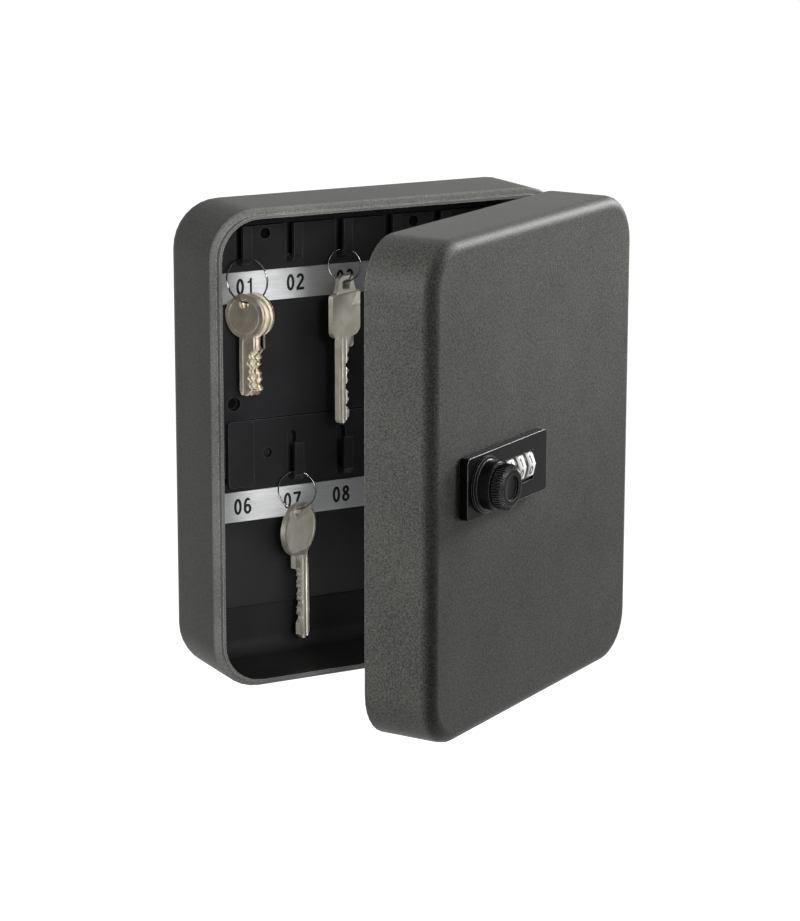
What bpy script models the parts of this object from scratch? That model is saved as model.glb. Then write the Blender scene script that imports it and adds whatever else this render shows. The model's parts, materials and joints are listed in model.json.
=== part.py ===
# Key cabinet: drawn steel case and door, two hook panels, a dial lock, three rings and five keys.
# Lengths are in metres. +Z is up, the back lies on the wall at y = 0, and the door opens towards -Y.
# The origin is the middle of the back. The door's pieces are laid out as if it were shut, and an
# empty on the hinge axis then turns them to the opening in the photo.

import math

import bmesh
import bpy
from mathutils import Matrix, Vector

# Case
case_width = 0.1654
case_height = 0.2
case_depth = 0.0427  # from the wall to the shoulder that the door's rim meets
corner_radius = 0.0201
back_edge_radius = 0.008
shoulder_radius = 0.0014
steel = 0.0012
lip_inset = 0.0031
lip_length = 0.0027

# Door
door_depth = 0.031  # from the shoulder to the door's front face
door_edge_radius = 0.0053
rim_gap = 0.0004
door_angle = math.radians(30.9)

# Gaps that all pieces share
seat = 0.0003  # between pieces that rest on or hold each other
cut_overrun = 0.002  # how far a cutter runs past what it cuts
root = 0.001  # how deep joined shapes run into each other

# Hinge
hinge_length = 0.15
hinge_offset = 0.003  # axis from the side wall
knuckle_radius = 0.0024
knuckle_count = 7
knuckle_gap = 0.0004
hinge_pin_radius = 0.0011
pin_head_radius = 0.0019
pin_head_height = 0.0009
leaf_width = 0.0145
leaf_thickness = 0.001

# Hook panels
panel_bottom_margin = 0.0233
panel_top_margin = 0.0136
panel_side_margin = 0.0137
panel_seam = 0.0004
seam_share = 0.521  # height of the seam between the panels, of the case's height
panel_thickness = 0.0035
panel_corner = 0.003
panel_edge = 0.0006
hooks_per_row = 5
pitch_share = 0.1688  # of the panel's width, as are the next two
row_shift_share = -0.0384
upper_row_share = 0.8146  # height of the hooks' undersides on each panel, of its height
lower_row_share = 0.6704

# Hooks
hook_width = 0.004
hook_reach = 0.0076  # panel face to the front of the upright
hook_height = 0.0168
hook_thickness = 0.002
hook_bend = 0.0034
slot_clearance = 0.00015
slot_height = 0.0182
slot_corner = 0.0018
wide_hook_width = 0.0118
wide_hook_height = 0.0285
wide_hook_corner = 0.002

# Number strips
strip_height = 0.013
strip_drop = 0.0035  # below the hooks' undersides
strip_thickness = 0.0008
strip_end_share = 0.55  # past the outermost hooks, of the pitch

# Wall holes and rivets
hole_lift = 0.0118  # above the hooks' undersides
wall_hole_radius = 0.0021
panel_hole_radius = 0.0024
low_hole_radius = 0.003
low_hole_lift = 0.0072  # above the upper panel's lower edge
low_hole_margin = 0.0136  # from the panel's end
rivet_radius = 0.0013
rivet_head_radius = 0.0019
rivet_head_height = 0.0006
rivet_recess = 0.0022  # from the panel's face down to the seat of the head
centre_rivet_shares = (0.17, 0.5)  # of the upper panel's height

# Lock
lock_inset = 0.0511  # middle of the plate from the door's free edge
lock_height_share = 0.513  # middle of the plate, of the case's height
plate_width = 0.0636
plate_height = 0.0249
plate_thickness = 0.00425  # from the door's face to the plate's face
plate_corner = 0.0022
plate_edge = 0.0007
plate_lap = 0.0043  # past the cut-out at each end
plate_lap_high = 0.0025  # past the cut-out above and below
body_depth = 0.0222
cover_thickness = 0.0012
knob_inset = 0.0137  # knob axis from the plate's end
wheel_inset = 0.0295  # wheel pocket from the plate's end
end_wall = 0.0042
lock_wall = 0.001
divider = 0.0024
plate_skin = 0.0008  # in front of the wheels

# Wheels
wheel_count = 3
wheel_radius = 0.0079
wheel_width = 0.0073
wheel_gap = 0.0003
wheel_proud = 0.0014
wheel_chamfer = 0.0004
window_height = 0.0118
axle_radius = 0.0012
gate_width = 0.0036
gate_depth = 0.0009

# Knob, spindle and cam
knob_flange_radius = 0.0114
knob_flange_height = 0.0011
collar_radius = 0.0097
collar_height = 0.006
neck_radius = 0.0087
neck_height = 0.0005
grip_radius = 0.0092
grip_height = 0.0054
grip_flute = 0.00035
flute_count = 36
grip_chamfer = 0.0007
dish_radius = 0.0073
dish_depth = 0.0008
button_radius = 0.0048
spindle_radius = 0.004
spindle_nose_radius = 0.003
spindle_nose_length = 0.004
thread_radius = 0.0024
cam_width = 0.0116
cam_thickness = 0.002
cam_wall_clearance = 0.0028
cam_step = 0.0085  # axis to the start of the crank
crank_run = 0.005
nut_radius = 0.0045
nut_height = 0.0026

# Strike
strike_height = 0.026
strike_thickness = 0.0015
strike_depth = 0.0125
strike_reach = 0.0056
strike_setback = 0.0016  # behind the case's shoulder
strike_clearance = 0.0009

# Small lock pieces
cover_screw_radius = 0.0009
cover_screw_length = 0.005
screw_head_radius = 0.0018
screw_head_height = 0.001
screw_slot_width = 0.0005
screw_slot_depth = 0.0004
bar_height = 0.003
bar_depth = 0.0024
spring_thickness = 0.0004
spring_height = 0.0045
reset_radius = 0.0014
reset_head_radius = 0.0022
reset_head_height = 0.0011
reset_travel = 0.0012

# Rings and keys
wire_radius = 0.0006
ring_diameters = {"ring_01": 0.0206, "ring_03": 0.0155, "ring_07": 0.0177}
ring_reach_share = 0.6  # where a ring hangs on its hook's arm
ring_turns = {"ring_01": math.radians(4), "ring_03": math.radians(-20), "ring_07": math.radians(-16)}
key_turns = {"key_01": math.radians(-55), "key_03": math.radians(28), "key_07": math.radians(31)}
key_slides = {"key_01": -0.0004, "key_03": -0.0006, "key_07": 0.0}  # of a key's middle from the wire
key_spacing = 0.0024  # of the three keys on one ring
hole_widths = {"key_01": 0.0046, "key_03": 0.0076, "key_07": 0.007}
hole_heights = {"key_01": 0.0046, "key_03": 0.0042, "key_07": 0.0042}
hole_corner_share = 0.49  # of the hole's height
bow_webs = {"key_01": 0.0018, "key_03": 0.0017, "key_07": 0.0017}  # metal above the hole
key_wall_gap = 0.0009  # between a key and what is behind it
groove_width = 0.0014
groove_depth = 0.0004
tip_point = 0.0022
tip_clearances = {"key_01": 0.011, "key_03": 0.0064, "key_07": 0.0082}
bow_widths = {"key_01": 0.0178, "key_03": 0.02, "key_07": 0.0242}
bow_heights = {"key_01": 0.0186, "key_03": 0.0258, "key_07": 0.0232}
key_thicknesses = {"key_01": 0.0015, "key_03": 0.0022, "key_07": 0.0022}
blade_widths = {"key_01": 0.0054, "key_03": 0.0071, "key_07": 0.0071}
blade_offsets = {"key_01": 0.0004, "key_03": -0.002, "key_07": 0.0028}
shoulder_widths = {"key_01": 0.0066, "key_03": 0.0105, "key_07": 0.0106}
shoulder_height = 0.0052
cut_pitch_share = 0.45  # of the blade's width
cut_shares = (0.18, 0.3, 0.12, 0.26, 0.34)  # depths of the cuts, of the blade's width
square_corner = 0.0022
square_top_share = 0.46  # width of the square bow's top, of its own width
square_foot_share = 0.74  # width of that top part at its foot
square_slope_share = 0.28  # height of that top part, of the bow's height
neck_drop = 0.0006  # fall of the square bow's lower edge towards the blade

# Steps in round shapes
corner_steps = 8
edge_steps = 4
round_steps = 20
wheel_steps = 32
ring_steps = 28
wire_steps = 8
bow_steps = 24

# Places that follow from the sizes
case_bottom = -case_height / 2
hinge_point = Vector((case_width / 2 + hinge_offset, -case_depth, 0))
panel_width = case_width - 2 * panel_side_margin
seam = case_bottom + case_height * seam_share
lower_panel_bottom = case_bottom + panel_bottom_margin
lower_panel_height = seam - panel_seam / 2 - lower_panel_bottom
upper_panel_bottom = seam + panel_seam / 2
upper_panel_height = case_bottom + case_height - panel_top_margin - upper_panel_bottom
panel_back = -(steel + seat)
panel_face = panel_back - panel_thickness
pitch = panel_width * pitch_share
row_middle = panel_width * row_shift_share
upper_row = upper_panel_bottom + upper_panel_height * upper_row_share
lower_row = lower_panel_bottom + lower_panel_height * lower_row_share
strip_face = panel_face - seat - strip_thickness
plate_middle = Vector((lock_inset - case_width / 2, 0, case_bottom + case_height * lock_height_share))
plate_left = plate_middle.x - plate_width / 2
knob_x = plate_left + knob_inset
door_face = -case_depth - door_depth
plate_face = door_face - plate_thickness
cutout_width = plate_width - 2 * plate_lap
cutout_height = plate_height - 2 * plate_lap_high
body_width = cutout_width - 2 * seat
body_height = cutout_height - 2 * seat
body_back = door_face + body_depth
cover_back = body_back + seat + cover_thickness
pocket_height = body_height - 2 * lock_wall
knob_pocket_left = plate_middle.x - body_width / 2 + end_wall
wheel_pocket_left = plate_left + wheel_inset
knob_pocket_right = wheel_pocket_left - divider
wheel_step = wheel_width + wheel_gap
wheel_pocket_right = wheel_pocket_left + wheel_step * wheel_count + wheel_gap
wheel_y = plate_face - wheel_proud + wheel_radius
strike_front = -case_depth + steel + strike_setback
cam_tip_y = strike_front + strike_thickness + strike_clearance
cam_hub_y = cover_back + 2 * seat + cut_overrun
cam_reach = knob_x + case_width / 2 - steel - cam_wall_clearance - seat
bar_front = wheel_y + wheel_radius + seat


def clear_scene():
    for old in list(bpy.data.objects):
        bpy.data.objects.remove(old, do_unlink=True)


def new_collection(name, hidden=False):
    made = bpy.data.collections.new(name)
    made.hide_render = hidden
    bpy.context.scene.collection.children.link(made)
    return made


def linear(channel):
    return channel / 12.92 if channel <= 0.04045 else ((channel + 0.055) / 1.055) ** 2.4


def material(name, colour, roughness, metallic):
    made = bpy.data.materials.new(name)
    made.use_nodes = True
    shader = made.node_tree.nodes["Principled BSDF"]
    rgb = [linear(int(colour[i : i + 2], 16) / 255) for i in (0, 2, 4)]
    shader.inputs["Base Color"].default_value = (*rgb, 1)
    shader.inputs["Roughness"].default_value = roughness
    shader.inputs["Metallic"].default_value = metallic
    return made


clear_scene()
pieces = new_collection("key_cabinet")
cutters = new_collection("cutters", hidden=True)

powder = material("powder_coat", "55565a", 0.5, 0.0)
black_plastic = material("black_plastic", "26262a", 0.45, 0.0)
satin_aluminium = material("satin_aluminium", "d8d9da", 0.35, 1.0)
black_metal = material("black_metal", "2b2c2e", 0.35, 0.6)
white_plastic = material("white_plastic", "efefec", 0.4, 0.0)
zinc_steel = material("zinc_steel", "a9abad", 0.35, 1.0)
nickel_silver = material("nickel_silver", "c9c4b8", 0.3, 1.0)
brass_nickel = material("warm_nickel", "c8b9a0", 0.32, 1.0)


def empty(name, parent, location):
    made = bpy.data.objects.new(name, None)
    made.parent = parent
    made.location = location
    pieces.objects.link(made)
    return made


def add_piece(name, mesh, finish):
    made = bpy.data.objects.new(name, mesh)
    mesh.materials.clear()
    mesh.materials.append(finish)
    pieces.objects.link(made)
    return made


def add_cutter(name, mesh):
    made = bpy.data.objects.new(name, mesh)
    made.hide_render = True
    made.display_type = "WIRE"
    cutters.objects.link(made)
    return made


def mesh_from(bm, name):
    bmesh.ops.recalc_face_normals(bm, faces=bm.faces)
    mesh = bpy.data.meshes.new(name)
    bm.to_mesh(mesh)
    bm.free()
    return mesh


def box_mesh(name, *boxes):
    # Each box is its low corner and its high corner.
    bm = bmesh.new()
    for low, high in boxes:
        low, high = Vector(low), Vector(high)
        shift = Matrix.Translation((low + high) / 2)
        size = Matrix.Diagonal((*(high - low), 1))
        bmesh.ops.create_cube(bm, size=1, matrix=shift @ size)
    return mesh_from(bm, name)


def rod_mesh(name, radius, *rods, steps=round_steps):
    # Each rod is its two end points.
    bm = bmesh.new()
    for start, end in rods:
        start, end = Vector(start), Vector(end)
        along = end - start
        turn = Vector((0, 0, 1)).rotation_difference(along).to_matrix().to_4x4()
        place = Matrix.Translation((start + end) / 2) @ turn
        bmesh.ops.create_cone(
            bm,
            cap_ends=True,
            segments=steps,
            radius1=radius,
            radius2=radius,
            depth=along.length,
            matrix=place,
        )
    return mesh_from(bm, name)


def cut(piece, *meshes):
    for mesh in meshes:
        tool = add_cutter(mesh.name, mesh)
        tool.parent = piece
        boolean(piece, tool, "DIFFERENCE")


def join(piece, *meshes):
    for mesh in meshes:
        tool = add_cutter(mesh.name, mesh)
        tool.parent = piece
        boolean(piece, tool, "UNION")


def boolean(piece, tool, operation):
    step = piece.modifiers.new(tool.name, "BOOLEAN")
    step.operation = operation
    step.object = tool
    step.solver = "EXACT"


def smooth(piece, degrees=30):
    piece.data.shade_smooth()
    piece.data.set_sharp_from_angle(angle=math.radians(degrees))


def arc(centre, radius, start, end, steps):
    # Points along an arc, both ends included, with angles in degrees.
    turns = [math.radians(start + (end - start) * i / steps) for i in range(steps + 1)]
    return [(centre[0] + radius * math.cos(a), centre[1] + radius * math.sin(a)) for a in turns]


def round_rectangle(width, height, radius, steps=edge_steps):
    across, up = width / 2 - radius, height / 2 - radius
    points = []
    for x, y, start in ((across, up, 0), (-across, up, 90), (-across, -up, 180), (across, -up, 270)):
        points += arc((x, y), radius, start, start + 90, steps)
    return points


def outline_mesh(name, thickness, *loops):
    # A flat plate, centred on its own XY plane, from closed outlines.
    # The first outline is the edge, and the rest are holes.
    curve = bpy.data.curves.new(name, "CURVE")
    curve.dimensions = "2D"
    curve.fill_mode = "BOTH"
    curve.extrude = thickness / 2
    for loop in loops:
        spline = curve.splines.new("POLY")
        spline.points.add(len(loop) - 1)
        for point, (x, y) in zip(spline.points, loop):
            point.co = (x, y, 0, 1)
        spline.use_cyclic_u = True
    holder = bpy.data.objects.new(name, curve)
    cutters.objects.link(holder)
    bpy.context.view_layer.update()
    graph = bpy.context.evaluated_depsgraph_get()
    mesh = bpy.data.meshes.new_from_object(holder.evaluated_get(graph))
    bpy.data.objects.remove(holder)
    bm = bmesh.new()
    bm.from_mesh(mesh)
    bmesh.ops.remove_doubles(bm, verts=bm.verts, dist=1e-6)
    bmesh.ops.recalc_face_normals(bm, faces=bm.faces)
    bm.to_mesh(mesh)
    bm.free()
    mesh.name = name
    return mesh


def turned_mesh(name, profile, steps=round_steps):
    # The profile runs down its outer side, as pairs of radius and height.
    mesh = bpy.data.meshes.new(name)
    points = [(radius, 0, height) for radius, height in profile]
    mesh.from_pydata(points, [(i, i + 1) for i in range(len(points) - 1)], [])
    holder = bpy.data.objects.new(name, mesh)
    cutters.objects.link(holder)
    screw = holder.modifiers.new("turn", "SCREW")
    screw.steps = steps
    screw.render_steps = steps
    screw.use_merge_vertices = True
    screw.merge_threshold = 1e-6
    bpy.context.view_layer.update()
    graph = bpy.context.evaluated_depsgraph_get()
    made = bpy.data.meshes.new_from_object(holder.evaluated_get(graph))
    bpy.data.objects.remove(holder)
    made.name = name
    return made


def tray_mesh(name, depth, edge_radius, open_face):
    # A block with rounded corners and one rounded face, without the face on its open side.
    bm = bmesh.new()
    bmesh.ops.create_cube(bm, size=1, matrix=Matrix.Diagonal((case_width, depth, case_height, 1)))
    along = [e for e in bm.edges if abs(e.verts[0].co.y - e.verts[1].co.y) > depth / 2]
    bmesh.ops.bevel(
        bm, geom=along, offset=corner_radius, segments=corner_steps, profile=0.5, affect="EDGES"
    )
    closed = [f for f in bm.faces if f.normal.y * open_face < -0.9]
    bmesh.ops.bevel(
        bm, geom=list(closed[0].edges), offset=edge_radius, segments=edge_steps, profile=0.5, affect="EDGES"
    )
    return bm


def open_side(bm, direction):
    return [f for f in bm.faces if f.normal.y * direction > 0.9]


def wall_holes():
    # Where the case is screwed to the wall, through both its back and the upper panel.
    high = upper_row + hole_lift
    low = upper_panel_bottom + low_hole_lift
    far = panel_width / 2 - low_hole_margin + row_middle
    near = row_middle - pitch * (hooks_per_row - 2) / 2
    low_left = low_hole_margin - panel_width / 2
    return [(near, high), (2 * row_middle - near, high), (low_left, low), (far, low)]


def rivet_places():
    low = lower_row + hole_lift
    apart = pitch * (hooks_per_row - 2) / 2
    centre = [(row_middle, upper_panel_bottom + upper_panel_height * share) for share in centre_rivet_shares]
    return [(row_middle - apart, low), (row_middle + apart, low), *centre]


def across_back(places):
    return [((x, cut_overrun, z), (x, panel_face - cut_overrun, z)) for x, z in places]


def build_case():
    bm = tray_mesh("case_shell", case_depth, back_edge_radius, -1)
    front = open_side(bm, -1)
    bmesh.ops.bevel(
        bm,
        geom=list(front[0].edges),
        offset=shoulder_radius,
        segments=edge_steps,
        profile=0.5,
        affect="EDGES",
    )
    front = open_side(bm, -1)
    inset = lip_inset - shoulder_radius
    bmesh.ops.inset_region(bm, faces=front, thickness=inset, use_even_offset=True)
    lip = bmesh.ops.extrude_face_region(bm, geom=front)
    moved = [v for v in lip["geom"] if isinstance(v, bmesh.types.BMVert)]
    bmesh.ops.translate(bm, verts=moved, vec=(0, -lip_length, 0))
    ends = [f for f in lip["geom"] if isinstance(f, bmesh.types.BMFace)]
    bmesh.ops.delete(bm, geom=ends + front, context="FACES")
    bmesh.ops.translate(bm, verts=bm.verts, vec=(0, -case_depth / 2, 0))
    case = add_piece("case_shell", mesh_from(bm, "case_shell"), powder)
    thicken(case)
    cut(
        case,
        rod_mesh("case_wall_holes", wall_hole_radius, *across_back(wall_holes())),
        rod_mesh("case_rivet_holes", rivet_radius + seat, *across_back(rivet_places())),
    )
    smooth(case)
    return case


def thicken(piece):
    wall = piece.modifiers.new("wall", "SOLIDIFY")
    wall.thickness = steel
    wall.offset = -1
    wall.use_even_offset = True


def build_door(axis):
    depth = door_depth - rim_gap
    bm = tray_mesh("door_shell", depth, door_edge_radius, 1)
    bmesh.ops.delete(bm, geom=open_side(bm, 1), context="FACES")
    bmesh.ops.translate(bm, verts=bm.verts, vec=(0, door_face + depth / 2, 0))
    door = add_piece("door_shell", mesh_from(bm, "door_shell"), powder)
    door.parent = axis
    door.location = -hinge_point
    thicken(door)
    left, right = plate_middle.x - cutout_width / 2, plate_middle.x + cutout_width / 2
    near, far = door_face - cut_overrun, door_face + steel + cut_overrun
    z = plate_middle.z
    holes = [((x, near, z), (x, far, z)) for x in lock_screw_xs()]
    cut(
        door,
        box_mesh("lock_cutout", lock_box(left, right, near, far, cutout_height)),
        rod_mesh("lock_screw_holes", cover_screw_radius + seat, *holes, steps=12),
    )
    smooth(door)
    return door


def lock_screw_xs():
    return (plate_left + plate_lap / 2, plate_left + plate_width - plate_lap / 2)


def knuckle_spans(first):
    # Every second knuckle of the hinge, as low and high ends.
    length = hinge_length / knuckle_count
    spans = []
    for i in range(first, knuckle_count, 2):
        low = -hinge_length / 2 + length * i
        spans.append((low + knuckle_gap / 2, low + length - knuckle_gap / 2))
    return spans


def build_hinge_leaf(name, side, first, axis):
    # Laid out round the hinge axis. side is 1 for the case's leaf and -1 for the door's.
    inner = -hinge_offset + seat
    outer = inner + leaf_thickness
    near = side * (knuckle_radius + knuckle_gap)
    far = side * (knuckle_radius + leaf_width)
    low, high = sorted((near, far))
    plate = box_mesh(name, ((inner, low, -hinge_length / 2), (outer, high, hinge_length / 2)))
    leaf = add_piece(name, plate, powder)
    leaf.parent = axis
    low, high = sorted((0, side * (knuckle_radius + root)))
    spans = knuckle_spans(first)
    join(
        leaf,
        box_mesh(name + "_tabs", *[((inner, low, a), (outer, high, b)) for a, b in spans]),
        rod_mesh(name + "_knuckles", knuckle_radius, *[((0, 0, a), (0, 0, b)) for a, b in spans], steps=16),
    )
    end = hinge_length / 2 + cut_overrun
    bore = hinge_pin_radius + seat
    cut(leaf, rod_mesh(name + "_bore", bore, ((0, 0, -end), (0, 0, end)), steps=16))
    smooth(leaf)
    return leaf


def build_hinge():
    case_leaf = build_hinge_leaf("hinge_case_leaf", 1, 0, None)
    case_leaf.location = hinge_point
    half = hinge_length / 2 + seat
    profile = [
        (0, half + pin_head_height),
        (pin_head_radius, half + pin_head_height),
        (pin_head_radius, half),
        (hinge_pin_radius, half),
        (hinge_pin_radius, -half),
        (pin_head_radius, -half),
        (pin_head_radius, -half - pin_head_height),
        (0, -half - pin_head_height),
    ]
    pin = add_piece("hinge_pin", turned_mesh("hinge_pin", profile, 16), zinc_steel)
    pin.location = hinge_point
    smooth(pin)


def hook_outline(height):
    # The J of a hook seen from its side: across is away from the panel, up is height above its underside.
    inner = hook_bend - hook_thickness
    outside = arc((hook_reach - hook_bend, hook_bend), hook_bend, -90, 0, edge_steps)
    inside = arc((hook_reach - hook_bend, hook_bend), inner, 0, -90, edge_steps)
    tip = arc(
        (hook_reach - hook_thickness / 2, height - hook_thickness / 2), hook_thickness / 2, 0, 180, edge_steps
    )
    return [(-root, 0), *outside, *tip, *inside, (-root, hook_thickness)]


def hook_mesh(name, x, base, width, height):
    # The outline lies in XY, so it is turned to stand with its reach towards -Y.
    mesh = outline_mesh(name, width, hook_outline(height))
    turn = Matrix(((0, 0, 1, x), (-1, 0, 0, panel_face), (0, 1, 0, base), (0, 0, 0, 1)))
    mesh.transform(turn)
    return mesh


def wide_hook_mesh(name, x, base):
    # A rounded plate in front of the panel, on an arm at its foot.
    outline = round_rectangle(wide_hook_width, wide_hook_height, wide_hook_corner)
    plate = outline_mesh(name + "_plate", hook_thickness, outline)
    middle = Vector((x, panel_face - hook_reach + hook_thickness / 2, base + wide_hook_height / 2))
    plate.transform(Matrix.Translation(middle) @ Matrix.Rotation(math.radians(90), 4, "X"))
    half = wide_hook_width / 2 - wide_hook_corner
    low = base + seat
    arm = ((x - half, middle.y, low), (x + half, panel_face + root, low + hook_thickness))
    return plate, box_mesh(name + "_arm", arm)


def hook_xs():
    half = (hooks_per_row - 1) / 2
    return [row_middle + pitch * (i - half) for i in range(hooks_per_row)]


def slot_mesh(name, x, base, width):
    # The opening behind a hook, with round ends.
    wide = width + 2 * slot_clearance
    low = base + hook_thickness + slot_clearance
    mesh = outline_mesh(name, 2 * panel_thickness, round_rectangle(wide, slot_height, slot_corner))
    middle = Vector((x, panel_face + panel_thickness / 2, low + slot_height / 2))
    mesh.transform(Matrix.Translation(middle) @ Matrix.Rotation(math.radians(90), 4, "X"))
    return mesh


def build_panel(name, bottom, height, row, wide_first):
    outline = round_rectangle(panel_width, height, panel_corner)
    panel = add_piece(name, outline_mesh(name, panel_thickness, outline), black_plastic)
    middle = panel_face + panel_thickness / 2
    centre = Vector((0, middle, bottom + height / 2))
    panel.data.transform(Matrix.Translation(centre) @ Matrix.Rotation(math.radians(90), 4, "X"))
    edge = panel.modifiers.new("edge", "BEVEL")
    edge.width = panel_edge
    edge.segments = 2
    edge.limit_method = "ANGLE"
    edge.angle_limit = math.radians(60)
    slots = []
    for number, x in enumerate(hook_xs()):
        label = f"{name}_hook_{number + 1}"
        slot = f"{name}_slot_{number + 1}"
        if wide_first and number == 0:
            x += (hook_width - wide_hook_width) / 2
            slots.append(slot_mesh(slot, x, row + seat, wide_hook_width - 2 * wide_hook_corner))
            join(panel, *wide_hook_mesh(label, x, row))
        else:
            slots.append(slot_mesh(slot, x, row, hook_width))
            join(panel, hook_mesh(label, x, row, hook_width, hook_height))
    cut(panel, *slots)
    return panel


def build_panels():
    lower = build_panel("lower_hook_panel", lower_panel_bottom, lower_panel_height, lower_row, True)
    upper = build_panel("upper_hook_panel", upper_panel_bottom, upper_panel_height, upper_row, False)
    high, low = wall_holes()[:2], wall_holes()[2:]
    cut(
        upper,
        rod_mesh("panel_high_holes", panel_hole_radius, *across_back(high)),
        rod_mesh("panel_low_holes", low_hole_radius, *across_back(low)),
        *rivet_holes("upper", rivet_places()[2:]),
    )
    cut(lower, *rivet_holes("lower", rivet_places()[:2]))
    smooth(lower)
    smooth(upper)


def rivet_holes(name, places):
    # Each is wider at the front, so that the head lies below the panel's face.
    near, far = panel_face - cut_overrun, panel_face + rivet_recess
    seats = [((x, near, z), (x, far, z)) for x, z in places]
    return (
        rod_mesh(name + "_rivet_holes", rivet_radius + seat, *across_back(places), steps=12),
        rod_mesh(name + "_rivet_seats", rivet_head_radius + seat, *seats, steps=16),
    )


def build_strips():
    width = pitch * (hooks_per_row - 1 + 2 * strip_end_share)
    for name, row in (("lower_number_strip", lower_row), ("upper_number_strip", upper_row)):
        outline = round_rectangle(width, strip_height, strip_thickness)
        mesh = outline_mesh(name, strip_thickness, outline)
        middle = strip_face + strip_thickness / 2
        top = row - strip_drop
        place = Matrix.Translation((row_middle, middle, top - strip_height / 2))
        mesh.transform(place @ Matrix.Rotation(math.radians(90), 4, "X"))
        add_piece(name, mesh, satin_aluminium)


def build_rivets():
    # A push rivet: its head lies in the panel and its shank goes on through the case's back.
    head = rivet_head_height
    shank = panel_thickness - rivet_recess + seat + steel
    profile = [
        (0, seat + head),
        (rivet_head_radius - head / 2, seat + head),
        (rivet_head_radius, seat + head / 2),
        (rivet_head_radius, seat),
        (rivet_radius, seat),
        (rivet_radius, -shank),
        (0, -shank),
    ]
    for number, (x, z) in enumerate(rivet_places()):
        name = f"panel_rivet_{number + 1}"
        rivet = add_piece(name, turned_mesh(name, profile, 12), black_plastic)
        rivet.location = (x, panel_face + rivet_recess, z)
        rivet.rotation_euler.x = math.radians(90)
        smooth(rivet)


def build_strike():
    inside = seat + steel - case_width / 2
    low, high = plate_middle.z - strike_height / 2, plate_middle.z + strike_height / 2
    foot = ((inside, strike_front, low), (inside + strike_thickness, strike_front + strike_depth, high))
    strike = add_piece("strike_bracket", box_mesh("strike_bracket", foot), zinc_steel)
    near = (inside + strike_thickness / 2, strike_front, low)
    far = (inside + strike_reach, strike_front + strike_thickness, high)
    join(strike, box_mesh("strike_flange", (near, far)))
    return strike


def lock_box(x0, x1, y0, y1, height):
    return (
        (x0, y0, plate_middle.z - height / 2),
        (x1, y1, plate_middle.z + height / 2),
    )


def build_lock_body(axis):
    thickness = plate_thickness - seat
    outline = round_rectangle(plate_width, plate_height, plate_corner)
    mesh = outline_mesh("lock_body", thickness, outline)
    centre = Vector((plate_middle.x, plate_face + thickness / 2, plate_middle.z))
    mesh.transform(Matrix.Translation(centre) @ Matrix.Rotation(math.radians(90), 4, "X"))
    body = add_piece("lock_body", mesh, black_metal)
    body.parent = axis
    body.location = -hinge_point
    edge = body.modifiers.new("edge", "BEVEL")
    edge.width = plate_edge
    edge.segments = 2
    edge.limit_method = "ANGLE"
    edge.angle_limit = math.radians(60)
    half = body_width / 2
    left, right = plate_middle.x - half, plate_middle.x + half
    case_front = plate_face + thickness / 2
    join(body, box_mesh("lock_case", lock_box(left, right, case_front, body_back, body_height)))
    back = body_back + cut_overrun
    pocket_front = plate_face + plate_thickness + plate_skin
    wheel_front = plate_face + plate_skin
    slot_front, slot_back = bar_front - seat, bar_front + bar_depth + seat
    slot_left, slot_right = knob_pocket_right - root, wheel_pocket_left + root
    cut(
        body,
        box_mesh(
            "knob_pocket",
            lock_box(knob_pocket_left, knob_pocket_right, pocket_front, back, pocket_height),
        ),
        box_mesh(
            "wheel_pocket",
            lock_box(wheel_pocket_left, wheel_pocket_right, wheel_front, back, pocket_height),
        ),
        box_mesh(
            "wheel_window",
            lock_box(
                wheel_pocket_left,
                wheel_pocket_right,
                plate_face - cut_overrun,
                wheel_front + cut_overrun,
                window_height,
            ),
        ),
        box_mesh(
            "bar_slot",
            lock_box(slot_left, slot_right, slot_front, slot_back, bar_height + 2 * seat),
        ),
        rod_mesh("spindle_bore", spindle_radius + seat, knob_line(plate_face - cut_overrun, back)),
        rod_mesh("axle_bore", axle_radius + seat, axle_line(cut_overrun), steps=16),
        rod_mesh("cover_screw_bores", cover_screw_radius + seat, *cover_screw_lines(), steps=12),
        rod_mesh("lock_screw_bores", cover_screw_radius + seat, *lock_screw_lines(), steps=12),
    )
    smooth(body)
    return body


def knob_line(front, back):
    return ((knob_x, front, plate_middle.z), (knob_x, back, plate_middle.z))


def axle_line(overrun):
    # The axle sits in a blind hole at each end of the wheel pocket.
    z = plate_middle.z
    left = wheel_pocket_left - divider / 2
    right = wheel_pocket_right + divider / 2
    return ((left - overrun / 4, wheel_y, z), (right + overrun / 4, wheel_y, z))


def cover_screw_xs():
    left = (plate_middle.x - body_width / 2 + knob_pocket_left) / 2
    right = (plate_middle.x + body_width / 2 + wheel_pocket_right) / 2
    return (left, right)


def cover_screw_lines():
    z = plate_middle.z
    end = body_back - cover_screw_length - seat
    return [((x, end, z), (x, body_back + cut_overrun, z)) for x in cover_screw_xs()]


def lock_screw_lines():
    z = plate_middle.z
    end = plate_face + plate_skin
    return [((x, end, z), (x, door_face + cut_overrun, z)) for x in lock_screw_xs()]


def build_rear_cover(axis):
    half = body_width / 2
    left, right = plate_middle.x - half, plate_middle.x + half
    front = body_back + seat
    shape = lock_box(left, right, front, front + cover_thickness, body_height)
    cover = add_piece("lock_rear_cover", box_mesh("lock_rear_cover", shape), zinc_steel)
    cover.parent = axis
    cover.location = -hinge_point
    z = plate_middle.z
    near, far = front - cut_overrun, cover_back + cut_overrun
    cut(
        cover,
        rod_mesh("cover_spindle_hole", spindle_radius + seat, knob_line(near, far)),
        rod_mesh(
            "cover_screw_holes",
            cover_screw_radius + seat,
            *[((x, near, z), (x, far, z)) for x in cover_screw_xs()],
            steps=12,
        ),
        rod_mesh("reset_hole", reset_radius + seat, reset_line(near, far), steps=12),
    )
    smooth(cover)


def reset_line(near, far):
    x, z = reset_place()
    return ((x, near, z), (x, far, z))


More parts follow.
